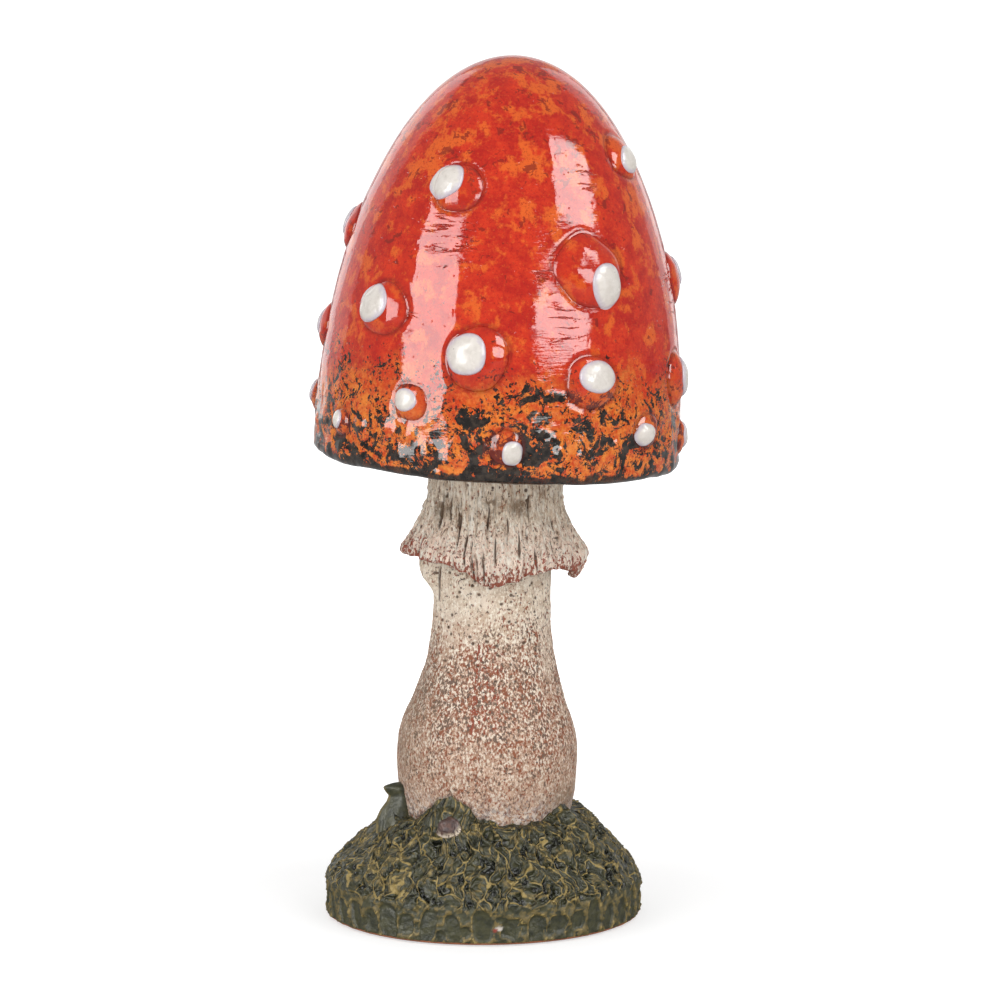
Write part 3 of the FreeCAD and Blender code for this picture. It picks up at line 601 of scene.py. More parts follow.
# Small bare lumps near the rim: direction in degrees, height, width and how far each stands proud
RIM_BUMPS = (
    (-137.8, 9.9, 3.6, 0.8), (-127.3, 10.9, 3.2, 0.7), (-119, 9.4, 3.0, 0.5), (-112.8, 5.4, 4.2, 0.8),
    (-121.1, 4.8, 4.5, 0.8), (-105.4, 4.6, 3.6, 0.6), (-92.7, 9.0, 3.4, 0.8), (-75.6, 10.0, 3.6, 0.8),
    (-72.3, 6.6, 3.4, 0.8), (-64, 6.6, 3.0, 0.5), (-50, 9, 3.2, 0.6), (-22, 8, 3.4, 0.6),
    (-12, 12, 3.0, 0.5), (8, 9, 3.4, 0.6), (34, 9, 3.6, 0.7), (62, 11, 3.4, 0.7), (88, 9, 3.6, 0.6),
    (114, 11, 3.2, 0.6), (141, 9.5, 3.6, 0.7), (166, 10, 3.4, 0.6), (190, 8, 3.4, 0.6),
)

# Where black gathers in the glaze: direction in degrees, height, reach in millimetres, and how much
SOOT = (
    (-71, 21.5, 4.5, 1.0), (-57, 18.0, 3.6, 1.0), (-91, 25.0, 3.4, 0.9), (-81, 20.5, 4.2, 0.8),
    (-128, 24.0, 4.0, 0.5), (-125, 12.0, 9.0, -0.55), (-41, 14.0, 5.0, 0.5), (30, 19.0, 5.0, 0.8),
    (84, 22.0, 4.5, 0.8), (132, 20.0, 5.0, 0.8),
)

# Where a coarse brush dragged the glaze, in the same terms
BRUSHED = (
    (-113.5, 57.0, 6.5, 1.0), (-109, 48.0, 4.0, 0.5), (-69.5, 35.0, 5.5, 0.72), (-55, 68.0, 3.4, 0.7),
    (-77, 45.5, 3.4, 0.8), (-124, 36.0, 3.6, 0.7), (-12, 42.0, 6.0, 0.8), (58, 52.0, 6.0, 0.8),
    (112, 38.0, 6.0, 0.8), (164, 50.0, 6.0, 0.8),
)


def on_dome(points):
    """The point of the plain dome nearest the axis line of each point, and the way out there."""
    x, y, z = points[..., 0], points[..., 1], points[..., 2] - HEM_HEIGHT
    size = np.sqrt((x * x + y * y) / CAP_RADIUS ** 2 + z * z / DOME_HEIGHT ** 2)
    foot = np.stack([x / size, y / size, z / size + HEM_HEIGHT], axis=-1)
    out = np.stack([foot[..., 0] / CAP_RADIUS ** 2, foot[..., 1] / CAP_RADIUS ** 2,
                    (foot[..., 2] - HEM_HEIGHT) / DOME_HEIGHT ** 2], axis=-1)
    return foot, out / np.linalg.norm(out, axis=-1)[..., None]


def cap_swell(points):
    """Slow unevenness of the thrown cap, and the lumps near its rim."""
    slow = CAP_LUMPS.soft(points / 28) * 0.32 + CAP_LUMPS.soft(points / 11 + 5) * 0.05
    low = 1 - smooth(points[..., 2], 8, 30)
    return slow + low * RIM_LUMPS.rough(points / 5.5) * 0.30


def gathered(points, table):
    """How much of a thing gathers at each point, from -1 to 1, by a table of places."""
    total = np.zeros(points.shape[:-1])
    for azimuth, level, reach, amount in table:
        turn = apart(np.arctan2(points[..., 1], points[..., 0]), math.radians(azimuth))
        total += amount * np.exp(-(turn * CAP_RADIUS / reach) ** 2 - ((points[..., 2] - level) / reach) ** 2)
    return np.clip(total, -1, 1)


def dome_frame(azimuth, rise):
    """Centre, across, up-slope and outward directions at a place on the dome."""
    a, t = math.radians(azimuth), math.radians(rise)
    centre = np.array([CAP_RADIUS * math.cos(t) * math.cos(a), CAP_RADIUS * math.cos(t) * math.sin(a),
                       HEM_HEIGHT + DOME_HEIGHT * math.sin(t)])
    across = np.array([-math.sin(a), math.cos(a), 0])
    out = on_dome(centre[None])[1][0]
    return centre, across, np.cross(out, across), out


def wart_outline(seed, angle, amount):
    """Share by which an outline swells or draws in round its turn."""
    source = np.random.default_rng(seed)
    total = 0
    for count in (2, 3, 4, 5):
        total = total + source.normal() * np.cos(count * angle + source.random() * TAU) / count ** 0.7
    return 1 + amount * total


def wart_rise(share):
    """Height of a wart as a share, at a share of its radius: a low mound with a rounded edge."""
    inside = np.clip(share, 0, 1)
    return (1 - inside ** 2.3) ** 0.86 - np.clip(share - 1, 0, 1) * 9


def numbered_warts(only=None):
    """Each wart's running number and row, of one tier or of all."""
    number = 0
    for tier, rows in WARTS.items():
        for row in rows:
            number += 1
            if only in (None, tier):
                yield number, row


def wart_shares(points, number, row):
    """How far each point is from a wart's centre, as a share of its outline there."""
    centre, across, up, out = dome_frame(*row[:2])
    offset = points - centre
    a = offset @ across / (WART_SIZE * row[2] / 2)
    b = offset @ up / (WART_SIZE * row[3] / 2)
    share = np.hypot(a, b) / wart_outline(number, np.arctan2(b, a), 0.05)
    return np.where(offset @ out > -12, share, 9.0)


def make_cap(material):
    columns = 420
    angle = turns(columns)

    # Outline from the apex down the outside, round the rim and up the inside
    t = np.linspace(math.pi / 2, 0, 2000)
    radius, height = CAP_RADIUS * np.cos(t), HEM_HEIGHT + DOME_HEIGHT * np.sin(t)
    run = np.concatenate([[0], np.cumsum(np.hypot(np.diff(radius), np.diff(height)))])
    even = np.linspace(0.35, run[-1], 186)
    inner = np.linspace(0, math.pi / 2 - 0.02, 16)
    path = [
        np.stack([np.interp(even, run, radius), np.interp(even, run, height)], axis=-1),
        [(CAP_RADIUS, h) for h in (3.5, 3.0, 2.5, 2.0)],
        [(40.2 + 2.0 * math.cos(k), 2.0 - 2.0 * math.sin(k)) for k in np.radians((15, 32, 50, 70, 90))],
        [(39.7, 0.0), (39.25, 0.08), (39.02, 0.35), (39.0, 1.0), (39.0, 2.0), (39.0, 3.2), (39.0, 7.05)],
        np.stack([37.7 * np.cos(inner), 7.05 + 81.45 * np.sin(inner)], axis=-1),
    ]
    inner_rows = len(path[-1]) + len(path[-2])
    path = np.concatenate(path)[::-1]

    grid = turned(path[:, :1], path[:, 1:], angle)
    foot, out = on_dome(grid)
    outside = (np.arange(len(path)) >= inner_rows)[:, None] * smooth(grid[..., 2], -0.1, 1.2)
    move = cap_swell(foot)
    crease = np.zeros(grid.shape[:2])
    for number, row in numbered_warts():
        size = WART_SIZE * (row[2] + row[3]) / 4
        gap = (wart_shares(grid, number, row) - 1) * size
        move += 0.04 * np.exp(-((gap - 1.6) / 1.2) ** 2) - 0.15 * np.exp(-((gap - 0.2) / 0.42) ** 2)
        crease = np.maximum(crease, np.exp(-((gap - 0.2) / 0.40) ** 2))
    for azimuth, level, width, proud in RIM_BUMPS:
        centre = dome_frame(azimuth, math.degrees(math.asin((level - HEM_HEIGHT) / DOME_HEIGHT)))[0]
        far = np.linalg.norm(grid - centre, axis=-1) / (width / 2)
        move += proud * 0.8 * np.exp(-far ** 2.6)
    # Grooves left by the brush and by trimming, which run round the cap
    move += CAP_LUMPS.soft_round(30.0, angle, grid[..., 2], 9.0, 1.5) * 0.02
    grid = grid + out * (move * outside)[..., None]

    # The rim is cut by hand
    wave = CAP_LUMPS.soft_round(30.0, angle, 40.0, 14.0, 1.0) * 0.55
    wave += CAP_LUMPS.soft_round(30.0, angle, 90.0, 4.0, 1.0) * 0.22
    nick = CAP_LUMPS.soft_round(30.0, angle, 130.0, 2.2, 1.0)
    wave += np.where(nick > 0.45, (nick - 0.45) * 0.9, 0)
    grid[..., 2] += (wave - 0.05) * (1 - smooth(grid[..., 2], 0.5, 9.0))
    attributes = {"height": grid[..., 2], "crease": crease * outside, "wart": np.zeros(grid.shape[:2]),
                  "soot": gathered(grid, SOOT), "brushed": gathered(grid, BRUSHED)}
    cap = skin("mushroom_cap", [(grid, attributes)], CAP_SEAT, poles=("low", "high"))
    finish_piece(cap, material, "cap_glaze", "cap")


def wart_height(points, number, row):
    """Height of a wart's surface above the swollen dome, and the points' shares of its outline."""
    share = wart_shares(points, number, row)
    dents = RIM_LUMPS.soft(points / 3.6) * 0.16 * (1 - smooth(share, 0.7, 1.0))
    return WART_PROUD * row[3] * wart_rise(share) + dents, share


def polar(half_across, half_up, rings, columns, reach, number, amount):
    """Places across and up, ring by ring from the middle, inside an uneven oval, and their shares."""
    share = np.linspace(0.05, 1, rings)[:, None] ** 0.8 * reach
    angle = turns(columns)
    wide = wart_outline(number, angle, amount)
    return (share * wide * np.cos(angle) * half_across, share * wide * np.sin(angle) * half_up,
            share + 0 * angle)


def make_warts(material):
    for tier in WARTS:
        grids = []
        for number, row in numbered_warts(tier):
            centre, across, up, _ = dome_frame(*row[:2])
            a, b, share = polar(WART_SIZE * row[2] / 2, WART_SIZE * row[3] / 2, 22, 60, 1.063, number, 0.05)
            foot, way = on_dome(centre + a[..., None] * across + b[..., None] * up)
            height, real = wart_height(foot, number, row)
            proud = WART_PROUD * row[3]
            height = proud * wart_rise(share) + (height - proud * wart_rise(real))
            top = foot + way * (cap_swell(foot) + height)[..., None]
            under = foot + way * (cap_swell(foot) - 1.9)[..., None]
            grid = np.concatenate([under[::7], top[::-1]])
            shares = np.concatenate([share[::7], share[::-1]])
            size = WART_SIZE * (row[2] + row[3]) / 4
            grids.append((grid, {
                "height": grid[..., 2],
                "crease": np.exp(-(((1.0 - shares) * size) / 0.5) ** 2),
                "wart": 1 - smooth(shares, 0.85, 1.0),
                "soot": gathered(grid, SOOT),
            }))
        piece = skin(f"cap_warts_{tier}", grids, CAP_SEAT, poles=("low", "high"))
        finish_piece(piece, material, "cap_glaze", f"warts_{tier}")


def make_spots(material):
    for tier in WARTS:
        grids = []
        for number, row in numbered_warts(tier):
            width, height, drop_across, drop_up, drop_width, drop_height = row[2:]
            centre, across, up, _ = dome_frame(*row[:2])
            middle_a = drop_across * WART_SIZE * width / 2 / OUTLINE_SHARE
            middle_b = drop_up * WART_SIZE * height / 2 / OUTLINE_SHARE
            a, b, share = polar(SPOT_SIZE * drop_width / 2, SPOT_SIZE * drop_height / 2, 18, 52, 1.0,
                                number + 100, 0.045)
            foot, way = on_dome(centre + (a + middle_a)[..., None] * across + (b + middle_b)[..., None] * up)
            level, _ = wart_height(foot, number, row)
            level = np.maximum(level, -0.3) + 0.15 * np.exp(-((level + 0.3) / 0.5) ** 2)
            thick = SPOT_PROUD * (0.75 + 0.35 * drop_height) * np.sqrt(np.clip(1 - share ** 3.2, 0, 1))
            dents = RIM_LUMPS.soft(foot / 2.4 + 30) * 0.10 * (1 - smooth(share, 0.5, 0.95))
            base = cap_swell(foot) + level
            top = foot + way * (base + thick + dents * (share < 1) - 0.05)[..., None]
            under = foot + way * (base - 0.5)[..., None]
            grids.append((np.concatenate([under[::6], top[::-1]]),
                          {"edge": np.concatenate([share[::6], share[::-1]])}))
        piece = skin(f"cap_spots_{tier}", grids, CAP_SEAT, poles=("low", "high"))
        finish_piece(piece, material, "white_glaze", f"white_spots_{tier}")


# Stem

STEM_LUMPS = Noise(21)


def stem_radius(height):
    """Radius of the plain stem at a height along its axis."""
    foot, belly, neck = 19.6, 20.9, 13.5
    low, middle, high = 24.0, 37.0, 75.0
    turn = 0.3
    narrowing, rise = belly - neck, high - middle
    reach = (rise ** 2 + narrowing ** 2) / (2 * narrowing)
    height = np.asarray(height, dtype=float)
    foot_arc = ((middle - low) ** 2 + (belly - foot) ** 2) / (2 * (belly - foot))
    swell = belly - foot_arc + np.sqrt(np.maximum(foot_arc ** 2 - (height - middle) ** 2, 0))
    upper = reach * turn
    round_part = belly - upper + np.sqrt(np.maximum(upper ** 2 - (height - middle) ** 2, 0))
    lower = reach * (1 - turn)
    hollow = neck + lower - np.sqrt(np.maximum(lower ** 2 - (high - height) ** 2, 0))
    result = np.where(height < middle, swell, round_part)
    result = np.where(height > middle + rise * turn, hollow, result)
    result = np.where(height < low, foot, result)
    return np.where(height > high, neck, result)


def stem_relief(angle, height):
    """How far the stem's real surface stands off the plain one, and how deep its pits are, with painted shade
    in the crease by the fold.
    """
    soft = partial(STEM_LUMPS.soft_round, 16.0, angle, height)
    move = soft(15.0, 24.0) * 0.55
    move = move + STEM_LUMPS.rough_round(16.0, angle, height, 3.6, 8.0, 40) * 0.24
    move = move + soft(0.75, 1.9, 80) * 0.075
    far, _, number = STEM_LUMPS.cells(round_points(16.0, angle, height, 2.1, 1.5) + 120)
    upper = smooth(height, 50, 68)
    pit = (1 - smooth(far, 0.12, 0.42)) * (number < 0.22 + 0.30 * upper)
    move = move - pit * (0.16 + 0.30 * upper)
    hollows_and_shade = pit * (0.45 + 0.4 * upper)
    # A fold of clay that hangs under the skirt on the left, with a crease beside it whose dark colour is
    # painted shade
    round_left = apart(angle, math.radians(181))
    tall = smooth(height, 74.0, 79.0) * (1 - smooth(height, 86, 92))
    belly = mixed(0.35, 1.0, smooth(height, 74, 82))
    fold = 3.5 * tall * belly * np.exp(-np.abs(round_left / math.radians(15)) ** 3)
    groove = beside(angle, 203, math.radians(3.2)) * smooth(height, 73, 75) * (1 - smooth(height, 80, 84))
    move = move + fold - groove * 0.9
    # The crease is painted dark: painted shade beside the fold
    hollows_and_shade = np.maximum(hollows_and_shade, groove)
    # The mend line low on the right
    return move + mound(angle, height, -22, 31, 0.10, 2.6), hollows_and_shade


def make_stem(material):
    columns = 300
    angle = turns(columns)[None, :]
    heights = np.concatenate([[12, 14, 17, 19.5], np.linspace(21.5, 99, 282), np.linspace(100, SHOULDER, 8)])
    height = heights[:, None] + 0 * angle
    move, hollows_and_shade = stem_relief(angle, height)
    held = smooth(height, 20, 23) * (1 - smooth(height, 90, 95))
    outer = turned(stem_radius(height) + move * held, height, angle)
    # Shoulder, spigot, bore and foot, which no one sees
    rest = np.array([
        (12.4, SHOULDER), (SPIGOT_RADIUS, SHOULDER), (SPIGOT_RADIUS, 112), (SPIGOT_RADIUS, 115),
        (SPIGOT_RADIUS, SPIGOT_TOP - 0.4), (10.1, SPIGOT_TOP), (7.9, SPIGOT_TOP),
        (BORE_RADIUS, SPIGOT_TOP - 0.4), (BORE_RADIUS, 100), (BORE_RADIUS, 75), (BORE_RADIUS, 45),
        (BORE_RADIUS, SOCKET_FLOOR), (13.0, SOCKET_FLOOR), (18.5, SOCKET_FLOOR),
    ])
    grid = np.concatenate([outer, turned(rest[:, :1], rest[:, 1:], angle)])
    pad = np.zeros((len(rest), columns))
    # A dark line where the moss meets the stem: painted shade in the joint
    low = np.exp(-((height - stem_moss_edge(angle)) / 0.6) ** 2) * 0.5
    # A brown stain low on the right, and a browner left side
    stain_and_shade = mound(angle, height, -28, 30, 0.25, 4) * 0.7
    stain_and_shade += np.exp(-(apart(angle, math.radians(-158)) / 0.40) ** 2 - ((height - 47) / 15) ** 4) * 0.5
    # A thin red-brown seam down the front, with red grains beside it
    from_seam = apart(angle, math.radians(-101.5)) * 16.7
    from_seam = from_seam + 0.12 * STEM_LUMPS.soft_round(16.0, angle, height, 2.0, 3.0, 160)
    worn = smooth(height, 44, 48) * (1 - smooth(height, 64, 68))
    rust = worn * (np.exp(-(from_seam / 0.36) ** 2) + 0.24 * np.exp(-((from_seam - 3.0) / 4.5) ** 2))
    attributes = {
        "height": grid[..., 2],
        "hollows_and_shade": np.concatenate([np.maximum(hollows_and_shade, low), pad]),
        "stain_and_shade": np.concatenate([stain_and_shade, pad]),
        "rust": np.concatenate([np.clip(rust, 0, 1), pad]),
    }
    stem = skin("mushroom_stem", [(grid, attributes)], STEM_SEAT, closed_up=True)
    finish_piece(stem, material, "stem_clay", "stem")


# Veil ring

VEIL_LUMPS = Noise(31)

# Lower edge of the ring: degrees from the right, front at -90, and height along the stem
HEM_EDGE = (
    (-180, 84.4), (-165, 85.2), (-139, 84.7), (-129, 85.1), (-115, 84.1), (-107, 82.7), (-96, 80.2),
    (-90, 79.8), (-82, 80.8), (-73.5, 81.6), (-69, 82.8), (-59, 83.6), (-47, 84.1), (-35, 83.5),
    (-22, 82.6), (-10, 80.4), (-2, 81.2), (6, 83.8), (20, 85.2), (36, 83.2), (52, 80.6), (64, 81.8),
    (80, 84.6), (97, 85.0), (112, 82.4), (122, 80.8), (134, 82.6), (150, 84.8), (166, 83.6),
)

# Slots torn in the ring: degrees, height, half width in degrees, half height, depth, lean
SLOTS = (
    (-139, 94.6, 3.0, 3.4, 1.5, -0.9), (-129, 96.5, 2.2, 3.0, 1.0, -0.8), (-95.5, 95.2, 1.8, 2.8, 1.4, 0.0),
    (-60, 99.0, 2.6, 1.8, 0.8, 0.3), (-88.5, 88.2, 1.7, 3.4, 1.2, 0.0), (-103, 83.9, 1.7, 3.6, 1.1, -0.4),
    (-118, 92.0, 1.6, 4.0, 0.9, -0.5), (-110, 88.0, 1.4, 3.6, 0.8, -0.3), (-72, 90.0, 1.4, 3.6, 0.7, 0.3),
    (-80, 93.0, 1.3, 3.0, 0.7, 0.2), (-36, 92.0, 1.8, 3.0, 0.9, 0.5), (-18, 95.0, 1.8, 3.0, 1.0, 0.4),
    (8, 92.0, 1.8, 3.4, 1.1, 0.0), (38, 95.0, 2.0, 3.0, 1.2, 0.3), (60, 91.0, 1.8, 3.2, 1.0, 0.0),
    (92, 94.0, 2.0, 3.2, 1.3, -0.2), (118, 91.0, 1.8, 3.4, 1.0, 0.2), (146, 95.0, 2.0, 3.0, 1.2, 0.0),
    (170, 92.0, 1.8, 3.2, 1.0, 0.3), (-160, 93.0, 1.8, 3.2, 1.0, -0.4),
)

# Where the hem is redder: degrees and reach in radians
RED_TIPS = ((-172, 0.55), (-84, 0.42), (-14, 0.45), (52, 0.5), (121, 0.5))

# Brown stains, with painted shade on the neck under the cap: degrees, height, and reach in radians and
# millimetres
STAINS_AND_SHADE = ((-94, 99, 0.14, 1.6), (-70, 98, 0.19, 2.0), (-140, 97, 0.2, 3.0),
          (20, 97, 0.2, 2.5), (100, 98, 0.2, 2.5), (150, 96, 0.2, 2.4))


def veil_radius(height):
    """Outside of the ring, from the sleeve down to the flared hem."""
    levels = (78.0, 79.5, 81.0, 83.4, 85.0, 86.5, 88.4, 90.3, 92.4, 94.5, 97.0, 99.5, 110.0)
    radii = (18.9, 19.1, 19.6, 20.5, 20.9, 20.7, 19.7, 18.5, 17.4, 16.5, 15.7, 15.4, 15.4)
    return np.interp(height, levels, radii)


def make_veil(material):
    columns, rows, inner_rows = 480, 128, 34
    angle = turns(columns)[None, :]
    edge = turned_by(angle, HEM_EDGE)
    ragged = VEIL_LUMPS.soft_round(19.0, angle, 3.0, 2.2, 1.0) * 0.45
    ragged += VEIL_LUMPS.soft_round(19.0, angle, 9.0, 0.9, 1.0) * 0.22
    edge = edge + ragged

    share = np.linspace(0, 1, rows)[:, None]
    height = mixed(edge, SHOULDER, share)
    lean = angle + (100 - height) * 0.012 * np.sin(angle + math.pi / 2)
    flow = round_points(17.0, lean, height, 0.95, 11.0)
    drawn = partial(VEIL_LUMPS.soft_round, 17.0, lean, height)
    rough = partial(VEIL_LUMPS.rough_round, 17.0, angle, height)
    furrow = VEIL_LUMPS.soft(flow) + 0.55 * drawn(0.5, 6.0, 50)
    lower = 1 - smooth(height, 97, 104)
    crack = smooth(-drawn(0.62, 9.0, 70), 0.38, 0.62)
    relief = furrow * mixed(0.26, 0.62, lower) - crack * mixed(0.2, 0.75, lower)
    relief += rough(5.0, 6.0, 90) * 0.45
    relief += rough(1.3, 1.3, 130) * 0.16
    hollows_and_shade = np.maximum(smooth(-furrow, 0.6, 1.2) * 0.45, crack * 0.7) * mixed(0.35, 1.0, lower)
    for direction, level, half_wide, half_high, depth, tilt in SLOTS:
        drop = height - level
        away = apart(angle, math.radians(direction) - np.radians(drop * -tilt))
        away = away + math.radians(1.1) * VEIL_LUMPS.soft(flow * 1.7)
        cut = np.exp(-(away / math.radians(half_wide * 0.46)) ** 2 - (drop / half_high) ** 4)
        relief = relief - cut * depth
        hollows_and_shade = np.maximum(hollows_and_shade, cut * 1.1)
    # The furrows that the solid has too
    for index in range(FURROW_COUNT):
        direction = math.radians((index + SWAY_SHARE * math.sin(index * SCATTER)) * 360 / FURROW_COUNT)
        level = 90.9 + 8.6 * 0.12 * math.cos(index * SCATTER) * 0.91
        away = apart(angle, direction) * 17.5 + 0.35 * VEIL_LUMPS.soft(flow * 1.3 + index)
        cut = np.exp(-(away / 0.62) ** 2 - ((height - level) / 4.2) ** 4)
        relief = relief - cut * 0.5
        hollows_and_shade = np.maximum(hollows_and_shade, cut * 0.38)
    far, _, number = VEIL_LUMPS.cells(round_points(17.0, angle, height, 1.7, 1.7) + 200)
    pit = (1 - smooth(far, 0.15, 0.42)) * (number < 0.30) * smooth(height, 92, 100)
    relief -= pit * 0.42
    hollows_and_shade = np.maximum(hollows_and_shade, pit * 0.8)
    plain = veil_radius(height)
    relief += VEIL_LUMPS.soft_round(17.0, angle, 60, 6.5, 1.0) * 0.8 * smooth(plain, 15.8, 20.0)
    # The right side folds out into a corner, the left into a tip
    relief += 0.9 * mound(angle, height, 1, 86, 0.16, 2.4)
    relief += 0.5 * mound(angle, height, -177, 85, 0.22, 2.2)
    radius = plain + relief * (1 - smooth(height, 105.5, 108.5))

    # The inside follows the outside, a wall's thickness away
    inner_share = np.linspace(1, 0, inner_rows)[:, None]
    inner_height = mixed(edge + 0.35, SHOULDER, inner_share)
    inner_relief = VEIL_LUMPS.rough_round(15.0, angle, inner_height, 3.0, 5.0, 260) * 0.3
    inner = np.interp(inner_share[::-1, 0], share[:, 0], np.arange(rows))
    follow = radius[np.round(inner).astype(int)][::-1]
    wall = mixed(1.5, 1.9, smooth(inner_share, 0.0, 0.4))
    inner_radius = np.maximum(follow - wall, SLEEVE_RADIUS) + inner_relief * 0.3
    inner_radius = np.where(veil_radius(inner_height) < 15.6, SLEEVE_RADIUS, inner_radius)

    steps = (0.15, 0.5, 0.85)
    bottom_radius = np.stack([mixed(inner_radius[-1], radius[0], k) for k in steps])
    bottom_height = np.stack([edge[0] - 0.05 - 0.25 * math.sin(math.pi * k) for k in steps])
    radii = np.concatenate([radius, [0 * edge[0] + 14.4], inner_radius, bottom_radius])
    levels = np.concatenate([height, [0 * edge[0] + SHOULDER], inner_height, bottom_height])
    grid = turned(radii, levels, angle)
    tips = 0.35 + 0.65 * np.clip(sum(beside(angle, degrees, wide) for degrees, wide in RED_TIPS), 0, 1)
    from_edge = levels - edge
    rust = 0.85 * (1 - smooth(from_edge, 0.4, 7.0)) * tips + 0.5 * (1 - smooth(from_edge, 0.1, 0.9))
    # Brown stains near the top of the ring, partly painted shade under the cap
    stain_and_shade = sum(mound(angle, levels, *place) for place in STAINS_AND_SHADE)
    # The inside of the ring is darkened: painted shade under the ring
    inside = np.zeros(levels.shape)
    inside[rows:rows + inner_rows] = 0.35
    whole = np.concatenate([hollows_and_shade, np.zeros((len(levels) - rows, columns))])
    attributes = {"height": levels, "hollows_and_shade": np.maximum(whole, inside), "stain_and_shade": np.clip(stain_and_shade, 0, 1),
                  "rust": np.clip(rust, 0, 1)}
    veil = skin("veil", [(grid, attributes)], STEM_SEAT, closed_up=True)
    finish_piece(veil, material, "stem_clay", "veil_ring")


# Mossy foot

MOSS_LUMPS = Noise(41)

# Upper edge of the moss on the stem: degrees from the right, front at -90, and height
MOSS_EDGE = (
    (-180, 28.0), (-168, 27.0), (-158, 24.6), (-151, 23.9), (-140, 25.0), (-128, 28.0), (-121, 30.2),
    (-114, 31.4), (-108, 30.6), (-101, 28.6), (-95, 26.6), (-88, 25.6), (-78, 24.5), (-66, 24.3), (-52, 24.6),
    (-42, 26.0), (-31, 27.4), (-22, 26.4), (-10, 24.6), (10, 24.6), (30, 26.0), (48, 29.6), (62, 31.0),
    (74, 29.0), (90, 25.4), (108, 25.6), (122, 28.6), (132, 29.4), (144, 26.6), (160, 25.0),
)

# Tufts that climb the stem: degrees, height, reach in radians and millimetres, and how far each stands out
TUFTS = ((-112, 25.0, 0.24, 4.2, 2.4), (-31, 23.5, 0.22, 3.2, 1.4),
         (62, 24.5, 0.24, 4.2, 2.2), (128, 23.5, 0.22, 3.4, 1.6))


def stem_moss_edge(angle):
    edge = turned_by(angle, MOSS_EDGE)
    fringe = MOSS_LUMPS.soft_round(20.0, angle, 5.0, 2.4, 1.0) * 0.7
    return edge + fringe + MOSS_LUMPS.soft_round(20.0, angle, 15.0, 1.0, 1.0) * 0.35


def oval(across, up, power):
    """1 on the edge of a squarish oval, by shares of its half sizes."""
    return (np.abs(across) ** power + np.abs(up) ** power) ** (1 / power)


def wall_moss(angle, height, crumbs, bubble, worn):
    """Relief and brushed ochre of the wall: flat upright leaves, shallow pockets between ochre lines."""
    pockets = np.zeros(height.shape)
    lines = np.zeros(height.shape)
    source = np.random.default_rng(47)
    for index in range(WALL_LEAF_COUNT):
        direction = math.radians((index + SWAY_SHARE * math.sin(index * SCATTER)) * 360 / WALL_LEAF_COUNT)
        half_wide = 1.75 + 0.85 * source.random()
        foot_at = 0.1 + 2.6 * source.random() ** 2
        top_at = 6.4 + 2.8 * source.random()
        tilt = source.normal() * 0.13
        middle = (foot_at + top_at) / 2
        gap = apart(angle, direction) * FOOT_RADIUS - (height - middle) * tilt + 0.30 * crumbs
        far = oval(gap / half_wide, (height - middle) / (top_at - middle), 3)
        pockets = np.maximum(pockets, 1 - smooth(far, 0.86, 1.04))
        lines = np.maximum(lines * (far > 0.95), np.exp(-((far - 1.05) / 0.07) ** 2))
        # A smaller one squeezed in between some of them
        if source.random() > 0.40:
            half_wide = 0.8 + 0.5 * source.random()
            middle = 2.0 + 5 * source.random()
            half_tall = 1.0 + source.random()
            gap = apart(angle, direction + math.radians(4.4)) * FOOT_RADIUS + 0.35 * crumbs
            far = oval(gap / half_wide, (height - middle) / half_tall, 2.5)
            pockets = np.maximum(pockets, 1 - smooth(far, 0.8, 1.06))
            lines = np.maximum(lines, np.exp(-((far - 1.1) / 0.12) ** 2))
    rubble = 1 - pockets
    relief = 0.18 - 0.55 * pockets + 0.14 * lines + (0.05 + 0.20 * rubble) * crumbs
    relief += 0.2 * rubble * (bubble - 0.5)
    ridge = 0.46 + 0.34 * rubble * crumbs + 0.10 * rubble * bubble - 0.18 * pockets + 0.40 * lines * worn
    return relief, ridge


